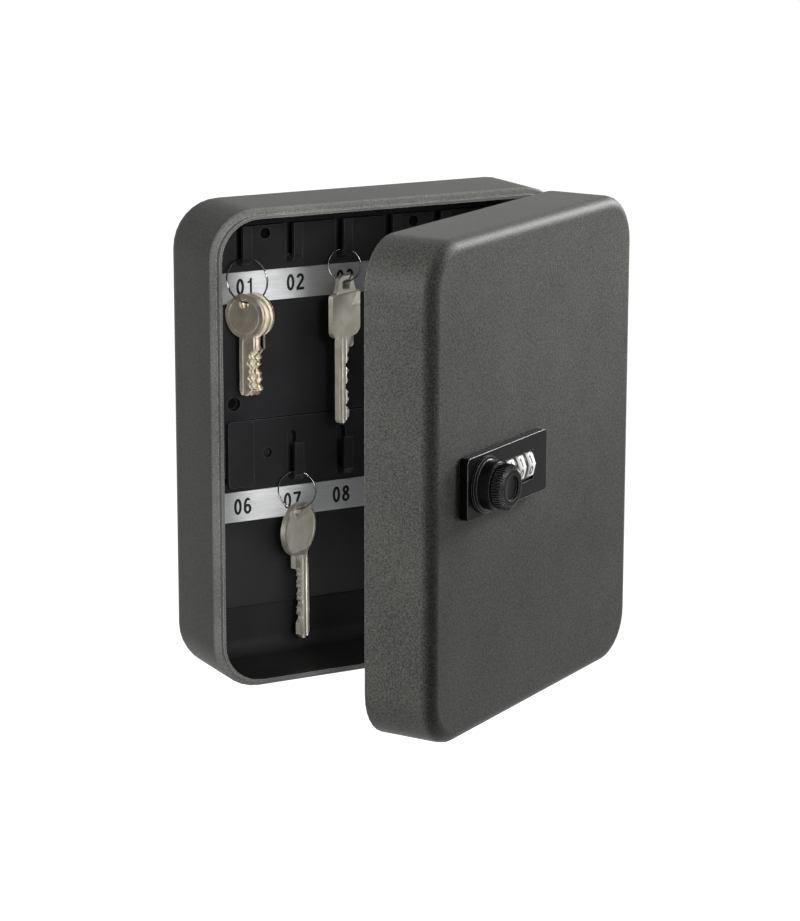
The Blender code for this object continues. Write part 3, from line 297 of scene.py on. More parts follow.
# One way of layering serves every finish: a fine grain and a slow drift mix two tones, edges are lightened as
# wear and as a painted highlight along rounded edges, and the grain lifts the surface. These are the shared
# settings.
layering = dict(
    grainDetail=3.0, grainRoughness=0.6, driftDetail=2.0, driftRoughness=0.5, bevelSamples=4,
    toneRange=(0.32, 0.68), roughRange=(0.3, 0.7),
    edgeRange=(0.99, 0.85),  # how alike the true and the rounded normal are, off an edge and on it
)
plainLook = dict(metal=0.0, mirror=0.5, stretch=(1, 1, 1), edgeWearAndHighlight=0.0)
finishes = {
    # Anthracite polyester powder coat with fine sand in it: soft sheen, tiny glints, little mirror; its pale
    # edge colour is a painted highlight along rounded edges.
    "powderCoat": dict(
        plainLook,
        dark="1f201e", light="50514d", edge="b2b3af", driftMm=26, grainShare=0.88,
        grainMm=0.7,  # about twice the real sand, so that it shows at this distance
        rough=(0.46, 0.54), mirror=0.1, bumpMm=0.16, bumpStrength=0.7, edgeMm=0.32, edgeWearAndHighlight=0.9,
    ),
    # The same coat inside the box, where less of it reaches: thinner and smoother, and darker as painted
    # shade for the shaded inside.
    "innerCoat": dict(
        plainLook,
        dark="1e1f1e", light="2c2d2c", edge="5c5d5b", grainMm=0.6, driftMm=26, grainShare=0.6,
        rough=(0.44, 0.52), mirror=0.14, bumpMm=0.04, bumpStrength=0.4, edgeMm=0.32, edgeWearAndHighlight=0.3,
    ),
    # The same coat along the rim, painted paler as a painted highlight on the rim and its edges.
    "rubbedCoat": dict(
        plainLook,
        dark="474846", light="7a7b77", edge="e4e5e1", grainMm=0.6, driftMm=26, grainShare=0.7,
        rough=(0.44, 0.52), mirror=0.14, bumpMm=0.08, bumpStrength=0.5, edgeMm=0.3, edgeWearAndHighlight=1.0,
    ),
    # Black polypropylene from a spark-eroded mould: flat, very fine pimples, with a painted highlight along
    # its rounded edges.
    "mouldedPanel": dict(
        plainLook,
        dark="101012", light="1c1c1f", edge="85858a", grainMm=0.5, driftMm=18, grainShare=0.6,
        rough=(0.36, 0.5), mirror=0.45, bumpMm=0.02, bumpStrength=0.4, edgeMm=0.4, edgeWearAndHighlight=0.7,
    ),
    # Rolled aluminium sheet, satin anodised: fine lines along the strip.
    "anodisedStrip": dict(
        plainLook,
        dark="c4c5c6", light="e2e3e4", edge="f2f2f2", grainMm=0.25, driftMm=30, grainShare=0.6,
        rough=(0.48, 0.6), metal=1.0, bumpMm=0.004, bumpStrength=0.4, edgeMm=0.2, edgeWearAndHighlight=0.3,
        stretch=(0.04, 1, 1),
    ),
    # Black electro-coated zinc casting: thin smooth film, its edges painted white as a painted highlight
    # along the bevels.
    "coatedCasting": dict(
        plainLook,
        dark="0a0a0b", light="131314", edge="ffffff", grainMm=0.35, driftMm=12, grainShare=0.5,
        rough=(0.2, 0.3), mirror=0.05, bumpMm=0.006, bumpStrength=0.35, edgeMm=0.3, edgeWearAndHighlight=0.7,
    ),
    # Painted shade for the screw holes: dull black discs that stand in for the holes' dark.
    "softCap": dict(
        plainLook,
        dark="060607", light="0d0d0e", grainMm=0.3, driftMm=4, grainShare=0.6,
        rough=(0.6, 0.7), mirror=0.05, bumpMm=0.004, bumpStrength=0.3,
    ),
    # White ABS, polished mould: clean and a little glossy.
    "whiteAbs": dict(
        plainLook,
        dark="c6c6c2", light="d6d6d2", edge="e2e2df", grainMm=0.9, driftMm=6, grainShare=0.4,
        rough=(0.24, 0.36), bumpMm=0.004, bumpStrength=0.2, edgeMm=0.25, edgeWearAndHighlight=0.1,
    ),
    # Zinc-plated steel, barrel finished: pale blue-grey with soft clouds.
    "zincPlate": dict(
        plainLook,
        dark="8f9397", light="b9bcbf", edge="dfe1e2", grainMm=0.3, driftMm=4, grainShare=0.4,
        rough=(0.25, 0.42), metal=1.0, bumpMm=0.006, bumpStrength=0.4, edgeMm=0.2, edgeWearAndHighlight=0.4,
    ),
    # Zinc plate with a black passivation, as on brackets that shouldn't catch the eye.
    "blackZinc": dict(
        plainLook,
        dark="111213", light="1f2022", edge="3a3c3e", grainMm=0.3, driftMm=5, grainShare=0.5,
        rough=(0.4, 0.55), mirror=0.3, bumpMm=0.006, bumpStrength=0.4, edgeMm=0.2, edgeWearAndHighlight=0.4,
    ),
    # Nickel-plated spring wire: smooth, so it shows the dark box as well as the light; its colour is set
    # darker than nickel, a painted shade for the dark box it reflects.
    "nickelWire": dict(
        plainLook,
        dark="51504e", light="757471", edge="b8b6b1", grainMm=0.2, driftMm=3, grainShare=0.5,
        rough=(0.12, 0.22), metal=1.0, bumpMm=0.003, bumpStrength=0.3, edgeMm=0.1, edgeWearAndHighlight=0.3,
    ),
    # Nickel silver key blank, worn dull by pockets: fine scratches that scatter the light; its white edges
    # are wear and a painted highlight.
    "nickelSilver": dict(
        plainLook,
        dark="a39f93", light="c6c2b5", edge="ffffff", grainMm=0.3, driftMm=5, grainShare=0.6,
        rough=(0.3, 0.46), metal=0.85, bumpMm=0.02, bumpStrength=0.7, edgeMm=0.3, edgeWearAndHighlight=1.0,
        stretch=(0.1, 1, 1),
    ),
    # The same alloy with more copper in it, warmer and duller, with the same white edges: wear and a painted
    # highlight.
    "warmNickelSilver": dict(
        plainLook,
        dark="aaa191", light="cdc4b3", edge="fff8ea", grainMm=0.3, driftMm=5, grainShare=0.6,
        rough=(0.32, 0.48), metal=0.85, bumpMm=0.02, bumpStrength=0.7, edgeMm=0.3, edgeWearAndHighlight=1.0,
        stretch=(1, 1, 0.1),
    ),
    # Printing ink: flat black, a little uneven.
    "printedInk": dict(
        plainLook,
        dark="0c0c0d", light="151516", grainMm=0.3, driftMm=3, grainShare=0.6,
        rough=(0.45, 0.6), mirror=0.3, bumpMm=0.003, bumpStrength=0.3,
    ),
}


def makeFinish(name, look):
    made = bpy.data.materials.new(name)
    made.use_nodes = True
    tree = made.node_tree
    shader = tree.nodes["Principled BSDF"]
    where = addNode(tree, "ShaderNodeTexCoord").outputs["Object"]
    laid = addNode(tree, "ShaderNodeMapping", {"Vector": where, "Scale": look["stretch"]}).outputs["Vector"]
    noises = []
    for kind, place in (("grain", laid), ("drift", where)):
        noise = {
            "Vector": place,
            "Scale": 1 / (look[kind + "Mm"] * mm),
            "Detail": layering[kind + "Detail"],
            "Roughness": layering[kind + "Roughness"],
        }
        noises.append(addNode(tree, "ShaderNodeTexNoise", noise).outputs["Fac"])
    grain, drift = noises
    blend = {"Factor": look["grainShare"], "A": drift, "B": grain}
    both = addNode(tree, "ShaderNodeMix", blend, data_type="FLOAT").outputs["Result"]
    low, high = layering["toneRange"]
    span = {"Value": both, "From Min": low, "From Max": high}
    spread = addNode(tree, "ShaderNodeMapRange", span).outputs["Result"]
    tone = addNode(tree, "ShaderNodeMix", {"Factor": spread}, data_type="RGBA")
    tone.inputs["A"].default_value = rgba(look["dark"])
    tone.inputs["B"].default_value = rgba(look["light"])
    colour = tone.outputs["Result"]
    low, high = layering["roughRange"]
    smooth, coarse = look["rough"]
    span = {"Value": both, "From Min": low, "From Max": high, "To Min": smooth, "To Max": coarse}
    rough = addNode(tree, "ShaderNodeMapRange", span).outputs["Result"]
    if look["edgeWearAndHighlight"]:
        # How far a rounded normal leaves the true one tells where an edge is.
        reach = {"Radius": look["edgeMm"] * mm}
        soft = addNode(tree, "ShaderNodeBevel", reach, samples=layering["bevelSamples"]).outputs["Normal"]
        true = addNode(tree, "ShaderNodeNewGeometry").outputs["Normal"]
        pair = {0: soft, 1: true}
        same = addNode(tree, "ShaderNodeVectorMath", pair, operation="DOT_PRODUCT").outputs["Value"]
        off, on = layering["edgeRange"]
        span = {"Value": same, "From Min": off, "From Max": on, "To Max": look["edgeWearAndHighlight"]}
        edge = addNode(tree, "ShaderNodeMapRange", span).outputs["Result"]
        # The lighter edge colour goes on edges: wear, and a painted highlight along rounded edges.
        wearAndHighlightShare = addNode(tree, "ShaderNodeMath", {0: edge, 1: spread}, operation="MULTIPLY").outputs["Value"]
        wearAndHighlightMix = addNode(tree, "ShaderNodeMix", {"Factor": wearAndHighlightShare, "A": colour}, data_type="RGBA")
        wearAndHighlightMix.inputs["B"].default_value = rgba(look["edge"])
        colour = wearAndHighlightMix.outputs["Result"]
    bump = {"Height": grain, "Strength": look["bumpStrength"], "Distance": look["bumpMm"] * mm}
    lift = addNode(tree, "ShaderNodeBump", bump).outputs["Normal"]
    tree.links.new(colour, shader.inputs["Base Color"])
    tree.links.new(rough, shader.inputs["Roughness"])
    tree.links.new(lift, shader.inputs["Normal"])
    shader.inputs["Metallic"].default_value = look["metal"]
    shader.inputs["Specular IOR Level"].default_value = look["mirror"]
    return made


surface = {name: makeFinish(name, look) for name, look in finishes.items()}
print("finishes made:", len(surface))


shells = {
    "case_shell": dict(name="case", body="case", edge=0.25, innerShadeFinish="innerCoat", rimHighlightFinish="rubbedCoat"),
    "door_shell": dict(name="door", body="door", edge=0.4),
    "hinge_case_leaf": dict(name="hinge_leaf_case", body="case", edge=0.12),
    "hinge_door_leaf": dict(name="hinge_leaf_door", body="door", edge=0.12),
}
zones = dict(
    lean=0.02,  # a wall is an inner one when it faces the middle by more than this
    forward=-0.3, floor=-20,  # the back's inner face looks forward and lies behind this depth
    rim=-41.4,  # the rim starts at this depth
)


def coatInside(mesh, innerShadeFinish, rimHighlightFinish):
    # The inner walls and the back's inner face get the darker coat, a painted shade, and the rim the paler
    # coat, a painted highlight.
    mesh.materials.append(innerShadeFinish)
    mesh.materials.append(rimHighlightFinish)
    for face in mesh.polygons:
        middle, out = face.center, face.normal
        inward = -(middle.x * out.x + middle.z * out.z)
        innerWall = inward > zones["lean"] * middle.length
        innerFloor = out.y < zones["forward"] and middle.y > zones["floor"] * mm
        if innerWall or innerFloor:
            face.material_index = 1
        # The rim's faces take the paler coat: a painted highlight.
        elif middle.y < zones["rim"] * mm:
            face.material_index = 2


def buildShells():
    for node, spec in shells.items():
        mesh = eased(fromFrame(node, spec["name"]), spec["edge"])
        piece = showMesh(spec["name"], mesh, surface["powderCoat"], spec["body"])
        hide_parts(node)
        if "innerShadeFinish" in spec:
            coatInside(mesh, surface[spec["innerShadeFinish"]], surface[spec["rimHighlightFinish"]])


buildShells()
print("case and door coated")


insideParts = {
    "lower_hook_panel": dict(name="panel_lower", edge=0.4, finish="mouldedPanel", slot="black_plastic"),
    "upper_hook_panel": dict(name="panel_upper", edge=0.25, finish="mouldedPanel", slot="black_plastic"),
    "lower_number_strip": dict(name="strip_lower", edge=0.12, finish="anodisedStrip", slot="satin_aluminium"),
    "upper_number_strip": dict(name="strip_upper", edge=0.12, finish="anodisedStrip", slot="satin_aluminium"),
    "strike_bracket": dict(name="strike", edge=0.2, finish="blackZinc", slot="zinc_steel"),
    "panel_rivet_1": dict(name="rivet_1", edge=0.15, finish="mouldedPanel", slot="black_plastic"),
    "panel_rivet_2": dict(name="rivet_2", edge=0.15, finish="mouldedPanel", slot="black_plastic"),
    "panel_rivet_3": dict(name="rivet_3", edge=0.15, finish="mouldedPanel", slot="black_plastic"),
    "panel_rivet_4": dict(name="rivet_4", edge=0.15, finish="mouldedPanel", slot="black_plastic"),
    "hinge_pin": dict(name="pin", edge=0.15, finish="zincPlate", slot="zinc_steel"),
}


def buildInside():
    for node, spec in insideParts.items():
        mesh = eased(fromFrame(node, spec["name"]), spec["edge"])
        piece = showMesh(spec["name"], mesh, surface[spec["finish"]], "case")
        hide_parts(node)


holeShadeDiscs = dict(
    radius=2.35, thick=0.4, middle=-1.65, edge=0.1, steps=40,
    places=[(-40.241, 82.997), (29.643, 82.997), (-55.4, 11.6), (50.1, 11.6)],  # across and up
)


def buildPlugs():
    # Thin black discs in the screw holes of the back: painted shade, so that the holes look dark as if
    # shaded.
    shadeDiscs = []
    for x, z in holeShadeDiscs["places"]:
        disc = circle(holeShadeDiscs["radius"], holeShadeDiscs["steps"])
        spot = Matrix.Translation(Vector((x, holeShadeDiscs["middle"], z)) * mm) @ upright
        shadeDiscs.append(placed(eased(plate("cap", holeShadeDiscs["thick"], disc), holeShadeDiscs["edge"]), spot))
    showMesh("hole_caps", joined("hole_caps", shadeDiscs), surface["softCap"], "case")


buildInside()
buildPlugs()
print("hook panels and strips in")


digitStyle = dict(width=0.51, stroke=0.165, gap=0.135)  # shares of a digit's height
ink = dict(thickness=0.04, layer=0.006)  # strokes that cross lie one layer apart


def ribbon(path, width, closed=False):
    # Loops round a band of one width along a path: two for a closed path, else one.
    count = len(path)
    left, right = [], []
    for i, (x, y) in enumerate(path):
        x0, y0 = path[(i - 1) % count] if closed or i else path[0]
        x1, y1 = path[(i + 1) % count] if closed or i < count - 1 else path[-1]
        ahead = Vector((x1 - x0, y1 - y0)).normalized()
        here = Vector((x, y))
        before = Vector((x - x0, y - y0))
        side = Vector((-ahead.y, ahead.x)) * width / 2
        if before.length and (closed or 0 < i < count - 1):
            side /= max(0.5, abs(before.normalized().dot(ahead)))
        left.append(tuple(here + side))
        right.append(tuple(here - side))
    return [left, right] if closed else [left + right[::-1]]


def digitStrokes(char):
    # Each stroke is one or two loops in a box one high.
    w, t = digitStyle["width"], digitStyle["stroke"]
    h = t / 2
    middle = w / 2
    bowl = (middle - h, 0.5 - h)

    def oval(cx, cy, rx, ry):
        return ribbon(arc((cx, cy), (rx, ry), 0, 360, 36)[:-1], t, True)

    def line(*path):
        return ribbon(list(path), t)

    if char == "0":
        return [oval(middle, 0.5, *bowl)]
    if char == "1":
        flag = [(0.09, 0.7), (0.09, 0.785), (0.2, 0.82), (0.275, 0.99), (0.385, 0.99)]
        return [[[*flag, (0.385, 0), (0.245, 0), (0.245, 0.7)]]]
    if char == "2":
        top = arc((middle, 0.72), (middle - h, 0.28 - h), 172, -32, 20)
        return [line(*top, (0.06, 0.11)), line((0, h), (w, h))]
    if char == "3":
        top = arc((middle, 0.74), (middle - h - 0.02, 0.26 - h), 160, -95, 20)
        low = arc((middle, 0.285), (middle - h, 0.285 - h), 95, -165, 20)
        return [line(*top), line(*low)]
    if char == "4":
        return [line((0.36, 0.97), (0.04, 0.3)), line((0, 0.27), (w, 0.27)), line((0.38, 1), (0.38, 0))]
    if char == "5":
        low = arc((middle, 0.32), (middle - h, 0.32 - h), 140, -160, 22)
        return [line((0.49, 1 - h), (0.09, 1 - h)), line((0.13, 0.97), (0.085, 0.44)), line(*low)]
    if char in "69":
        stem = [(h, 0.31), *arc((middle, 0.5), bowl, 180, 38, 20)]
        strokes = [oval(middle, 0.31, middle - h, 0.31 - h), line(*stem)]
        if char == "9":
            strokes = [[[(w - x, 1 - y) for x, y in loop] for loop in loops] for loops in strokes]
        return strokes
    if char == "7":
        slope = [(0.47, 0.93), (0.36, 0.7), (0.27, 0.45), (0.22, 0.2), (0.2, 0)]
        return [line((0.01, 1 - h), (w - 0.01, 1 - h)), line(*slope)]
    return [oval(middle, 0.745, middle - h - 0.03, 0.255 - h), oval(middle, 0.28, middle - h, 0.28 - h)]


def printWord(word, height, wide=1):
    # Meshes of the digits of a number, its middle at the origin of the XY plane.
    w, gap = digitStyle["width"], digitStyle["gap"]
    full = len(word) * w + (len(word) - 1) * gap
    made = []
    for place, char in enumerate(word):
        shiftX = place * (w + gap) - full / 2
        for layer, loops in enumerate(digitStrokes(char)):
            scaled = [[((x + shiftX) * height * wide, (y - 0.5) * height) for x, y in loop] for loop in loops]
            made.append(plate("stroke", ink["thickness"] + ink["layer"] * layer, *scaled))
    return made


numberRows = [
    dict(name="numbers_upper", first=1, left=-50.3, z=61.5, count=5),
    dict(name="numbers_lower", first=6, left=-52.4, z=-32.5, count=5),
]
numberPrint = dict(height=7.0, pitch=23.295, front=-6.1)


def buildNumbers():
    for row in numberRows:
        strokes = []
        for i in range(row["count"]):
            word = f"{row['first'] + i:02d}"
            x = row["left"] + numberPrint["pitch"] * i
            spot = Matrix.Translation(Vector((x, numberPrint["front"], row["z"])) * mm) @ upright
            strokes += [placed(mesh, spot) for mesh in printWord(word, numberPrint["height"])]
        showMesh(row["name"], joined(row["name"], strokes), surface["printedInk"], "case")


buildNumbers()
print("numbers printed")


# The lock is laid out on the shut door and turned with it to the opening in the photo.
doorTurn = math.radians(30.9)
hinge = Vector((85.7, -42.7, 0)) * mm
doorPlace = Matrix.Translation(hinge) @ Matrix.Rotation(doorTurn, 4, "Z") @ Matrix.Translation(-hinge)

lock = dict(
    middle=(-31.6, -77.95, 2.6),  # of the plate's face
    knobX=-49.7, wheelY=-71.45, firstWheel=-29.95, wheelStep=7.6,
)
lockParts = {
    "lock_body": dict(name="lock_housing", edge=0.3, finish="coatedCasting", slot="black_metal"),
    "lock_rear_cover": dict(name="lock_cover", edge=0.15, finish="zincPlate", slot="zinc_steel"),
    "cover_screw_1": dict(name="screw_cover_1", edge=0.08, finish="zincPlate", slot="zinc_steel"),
    "cover_screw_2": dict(name="screw_cover_2", edge=0.08, finish="zincPlate", slot="zinc_steel"),
    "lock_screw_1": dict(name="screw_lock_1", edge=0.08, finish="zincPlate", slot="zinc_steel"),
    "lock_screw_2": dict(name="screw_lock_2", edge=0.08, finish="zincPlate", slot="zinc_steel"),
    "wheel_axle": dict(name="axle", edge=0.1, finish="zincPlate", slot="zinc_steel"),
    "locking_bar": dict(name="bar", edge=0.15, finish="zincPlate", slot="zinc_steel"),
    "detent_spring": dict(name="spring_leaf", edge=0.05, finish="zincPlate", slot="zinc_steel"),
    "reset_button": dict(name="reset_pin", edge=0.1, finish="whiteAbs", slot="white_plastic"),
    "spindle": dict(name="knob_spindle", edge=0.12, finish="zincPlate", slot="zinc_steel"),
    "cam": dict(name="cam_lever", edge=0.2, finish="zincPlate", slot="zinc_steel"),
    "cam_nut": dict(name="nut", edge=0.2, finish="zincPlate", slot="zinc_steel"),
}
onKnob = ("spindle", "cam", "cam_nut")

knobForm = dict(
    # radius and height in front of the plate, with the share of the grip's ribs at each
    profile=[
        (0, 11.1, 0), (4.6, 11.1, 0), (4.9, 11.2, 0), (5.0, 11.45, 0), (5.0, 11.95, 0), (5.12, 12.15, 0),
        (5.35, 12.2, 0), (7.0, 12.2, 0), (7.35, 12.15, 0.3), (7.6, 12.0, 0.8), (8.6, 11.35, 1),
        (9.0, 11.0, 1), (9.2, 10.55, 1), (9.2, 7.8, 1), (9.05, 7.4, 0.7), (8.75, 7.15, 0.2), (8.65, 7.0, 0),
        (8.65, 6.7, 0), (8.8, 6.35, 0), (9.3, 6.25, 0), (9.6, 6.0, 0), (9.7, 5.7, 0), (9.7, 2.1, 0),
        (9.8, 1.75, 0), (10.1, 1.5, 0), (10.9, 1.4, 0), (11.25, 1.25, 0), (11.4, 0.95, 0), (11.4, 0.3, 0),
        (3.3, 0.3, 0), (3.3, 4.6, 0), (0, 4.6, 0),
    ],
    ribCount=52, ribDepth=0.5, steps=416,
)
wheelForm = dict(
    flats=10, apothem=7.45, corner=0.45, width=5.4, bore=1.5, boreSteps=24, turn=-14, edge=0.25,
    digit=3.7, wide=1.4,
    spacer=dict(radius=7.2, width=1.8, edge=0.2, steps=72),
)


def buildLock():
    for node, spec in lockParts.items():
        body = "reset" if node == "reset_button" else "knob" if node in onKnob else "door"
        mesh = eased(fromFrame(node, spec["name"]), spec["edge"])
        piece = showMesh(spec["name"], mesh, surface[spec["finish"]], body)
        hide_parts(node)
    print("lock housing in")
    buildKnob()
    for number in range(3):
        buildWheel(number)


def buildKnob():
    rows = knobForm["profile"]
    ribs = dict(count=knobForm["ribCount"], depth=knobForm["ribDepth"], shares=[r[2] for r in rows])
    mesh = turned("knob_grip", [r[:2] for r in rows], knobForm["steps"], ribs)
    spot = Vector((lock["knobX"], lock["middle"][1], lock["middle"][2])) * mm
    mesh = placed(mesh, doorPlace @ Matrix.Translation(spot) @ upright)
    piece = showMesh("knob_grip", mesh, surface["coatedCasting"], "knob")
    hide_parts("knob")


def wheelOutline(form):
    # Flats with rounded corners between them.
    points = []
    corner = form["corner"]
    half = 180 / form["flats"]
    reach = (form["apothem"] - corner) / math.cos(math.radians(half))
    for i in range(form["flats"]):
        a = 2 * half * i + half
        centre = (reach * math.cos(math.radians(a)), reach * math.sin(math.radians(a)))
        points += arc(centre, (corner, corner), a - half, a + half, 3)
    return points


def buildWheel(number):
    form, spacer = wheelForm, wheelForm["spacer"]
    name = f"wheel_{number + 1}"
    bore = circle(form["bore"], form["boreSteps"])
    middle = Vector((lock["firstWheel"] + lock["wheelStep"] * number, lock["wheelY"], lock["middle"][2])) * mm
    # The wheel's own X points out of the door, its Y up and its Z along the axle.
    stand = Matrix(((0, 0, 1, 0), (-1, 0, 0, 0), (0, 1, 0, 0), (0, 0, 0, 1)))
    turn = Matrix.Rotation(math.radians(form["turn"]), 4, "Z")
    spot = doorPlace @ Matrix.Translation(middle) @ stand @ turn
    across = Matrix.Translation((0, 0, spacer["width"] / 2 * mm))
    body = eased(plate(name, form["width"], wheelOutline(form), bore), form["edge"], angle=50)
    body.transform(across)
    piece = showMesh(name, placed(body, spot), surface["whiteAbs"], name)
    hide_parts(f"number_wheel_{number + 1}")
    rim = circle(spacer["radius"], spacer["steps"])
    ring = eased(plate(name, spacer["width"], rim, bore), spacer["edge"])
    ring.transform(Matrix.Translation((0, 0, -form["width"] / 2 * mm)))
    showMesh(f"spacer_{number + 1}", placed(ring, spot), surface["mouldedPanel"], name)
    # A digit stands on each flat: its own X runs along the axle and its Y up the wheel.
    onFlat = Matrix(((0, 0, 1, form["apothem"] * mm), (0, 1, 0, 0), (1, 0, 0, 0), (0, 0, 0, 1)))
    strokes = []
    for i in range(form["flats"]):
        face = Matrix.Rotation(math.tau * i / form["flats"], 4, "Z")
        for mesh in printWord(str(i), form["digit"], form["wide"]):
            strokes.append(placed(mesh, spot @ across @ face @ onFlat))
    showMesh(f"digits_{number + 1}", joined(f"digits_{number + 1}", strokes), surface["printedInk"], name)


buildLock()
print("lock built")


rings = {
    "ring_01": dict(
        name="split_ring_01", radius=9.7, middle=(-51.693, -11.154, 65.123),
        normal=(0.06678, -0.95507, 0.28876),
    ),
    "ring_03": dict(
        name="split_ring_03", radius=7.15, middle=(-6.032, -10.372, 67.588),
        normal=(-0.32632, -0.89656, 0.29948),
    ),
    "ring_07": dict(
        name="split_ring_07", radius=8.25, middle=(-29.427, -11.267, -27.061),
        normal=(-0.25645, -0.89433, 0.36662),
    ),
}
# Two coils a little apart, with a short jog from one to the other; steps are per turn.
wire = dict(radius=0.3, apart=0.28, inset=0.25, turns=2.06, jog=0.12, steps=72, start=200)


def buildRings():
    for node, spec in rings.items():
        points = []
        count = int(wire["steps"] * wire["turns"])
        middleTurn = wire["turns"] / 2
        normal = Vector(spec["normal"]).normalized()
        across = Vector((0, 0, 1)).cross(normal).normalized()
        up = normal.cross(across)
        for i in range(count + 1):
            turn = wire["turns"] * i / count
            slide = max(-1, min(1, (turn - middleTurn) / (wire["jog"] / 2)))
            lift = -wire["apart"] * math.sin(slide * math.pi / 2)
            a = math.radians(wire["start"]) + math.tau * turn
            flat = (across * math.cos(a) + up * math.sin(a)) * (spec["radius"] - wire["inset"])
            points.append((Vector(spec["middle"]) + flat + normal * lift) * mm)
        mesh = tube(spec["name"], points, wire["radius"] * mm)
        piece = showMesh(spec["name"], mesh, surface["nickelWire"], node)
        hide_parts(node)


buildRings()
print("rings hung")


# Each key has its own frame: Y runs up it from the hole's middle, and X across its faces.
roundBow = dict(
    shape="round", turn=-55, width=17.8, height=18.6, thickness=1.5,
    blade=5.4, offset=0.4, stop=6.6, slide=-0.4, hole=(4.6, 4.6), bitted=1,
    finish="warmNickelSilver", slot="warm_nickel",
    grooves=[(1, 2.0, 1.5, 0.35), (-1, 3.1, 1.3, 0.35)],  # face, distance from the plain edge, width, depth
)
keys = {
    "key_01_a": dict(
        roundBow, place=(-53.897, -14.029, 56.125), holeTop=2.028, top=3.828, neck=-14.772, tip=-39.224,
        cuts=[(2.2, 1.0), (5.2, 1.9), (8.6, 0.9), (11.4, 1.5), (14.6, 1.1)],  # below the stop, and how deep
    ),
    "key_01_b": dict(
        roundBow, place=(-51.497, -13.948, 55.836), holeTop=1.626, top=3.426, neck=-15.174, tip=-38.935,
        cuts=[(2.4, 1.6), (5.6, 0.8), (8.4, 1.8), (11.8, 1.3), (14.4, 0.7)],
    ),
    "key_01_c": dict(
        roundBow, place=(-49.109, -13.694, 56.125), holeTop=2.028, top=3.828, neck=-14.772, tip=-39.224,
        cuts=[(2.0, 0.8), (4.8, 1.4), (7.8, 2.0), (11.0, 0.8), (14.2, 1.2)],
    ),
    "key_03": dict(
        shape="square", turn=28, width=20, height=25.8, thickness=2.2,
        blade=7.1, offset=-2.0, stop=10.5, slide=-0.6, hole=(6.4, 4.0), bitted=1,
        finish="nickelSilver", slot="nickel_silver",
        grooves=[(1, 2.0, 2.1, 0.5), (1, 5.0, 0.9, 0.35), (-1, 3.2, 1.6, 0.5)],
        place=(-6.764, -12.384, 60.766), holeTop=1.34, top=3.04, neck=-22.76, tip=-60.165,
        cuts=[(3.2, 1.3), (7.4, 2.2), (12.2, 1.7), (16.6, 2.6), (20.6, 1.1), (24.6, 1.9)],
    ),
    "key_07": dict(
        shape="oval", turn=31, width=24.2, height=23.2, thickness=2.2,
        blade=7.1, offset=2.8, stop=10.6, slide=0, hole=(7.0, 4.2), bitted=-1,
        finish="nickelSilver", slot="nickel_silver",
        grooves=[(1, 2.2, 1.7, 0.5), (1, 4.9, 0.8, 0.35), (-1, 3.2, 1.6, 0.5)],
        place=(-30.261, -14.175, -34.737), holeTop=1.426, top=3.126, neck=-20.074, tip=-57.063,
        cuts=[(2.6, 1.0), (5.0, 1.5), (7.6, 0.9), (10.4, 1.7), (13.2, 1.2), (16.0, 1.9), (19.0, 1.0),
              (22.4, 1.8)],
    ),
}
# What the keys share. foot and crown are shares of a bow's width, shoulder is one of its height.
blank = dict(
    stopHeight=5.2, point=2.2, drop=0.6, cutFlat=0.9, flank=1.0, step=0.25, corner=2.2, foot=0.33, crown=0.19,
    shoulder=0.28, edge=0.12,
)
bowFace = dict(
    depth=0.18, lineOuter=(7.3, 7.65), lineInner=(6.85, 7.2),  # of the line rolled into a round bow
    rim=1.0, rimArc=(-62, 242), boss=1.4,  # what stands proud on an oval bow, at its edge and its hole
    cutter=1.0, steps=72,
)


def bowLoop(key, left, right):
    # From the right end of the neck round the top to its left end.
    half, top, height = key["width"] / 2, key["top"], key["height"]
    if key["shape"] == "square":
        base, slope, corner = top - height, top - height * blank["shoulder"], blank["corner"]
        foot, crown = key["width"] * blank["foot"], key["width"] * blank["crown"]
        side = [
            (half - corner, base), (half - 0.4, base + corner * 0.7), (half, base + corner * 1.3),
            (half, slope - 1.4), (half - 0.35, slope - 0.45), (half - 1.2, slope - 0.1),
            (foot + 0.6, slope), (foot, slope + 0.5),
            (crown + 0.9, top - 1.2), (crown, top - 0.3), (crown - 0.9, top),
        ]
        mirrored = [(-x, y) for x, y in reversed(side)]
        return [(right, base - blank["drop"]), *side, *mirrored, (left, base - blank["drop"])]
    start = -math.degrees(math.acos(2 * right / key["width"]))
    end = 360 - math.degrees(math.acos(2 * left / key["width"]))
    return arc((0, top - height / 2), (half, height / 2), start, end, 96)


def bladeLoop(key):
    # The plain edge, the stop and the way down the bitted edge to the tip.
    width, offset, sign = key["blade"], key["offset"], key["bitted"]
    plain, edge = offset - sign * width / 2, offset + sign * width / 2
    stop = plain + sign * key["stop"]
    low = key["neck"] - blank["stopHeight"]
    down = [(stop, low + 0.8), (stop - sign * 0.5, low + 0.2), (edge + sign * 0.3, low)]
    y = low - 0.3
    while y > key["tip"] + blank["point"]:
        deep = 0
        for below, depth in key["cuts"]:
            away = max(0, abs(low - below - y) - blank["cutFlat"] / 2)
            deep = max(deep, depth - away * blank["flank"])
        down.append((edge - sign * deep, y))
        y -= blank["step"]
    down.append((edge - sign * 0.6, key["tip"] + blank["point"]))
    tip = key["tip"]
    point = [(offset + sign * 1.2, tip + 0.3), (offset, tip), (plain + sign * 0.9, tip + 0.5)]
    return plain, stop, down, [*point, (plain, tip + blank["point"])]


# floor is the share of a groove's width that is flat, tail the share of it left at its end.
cutter = dict(spread=0.15, over=0.3, floor=0.6, past=2.0, runOut=2.2, tail=0.35, clear=0.05)


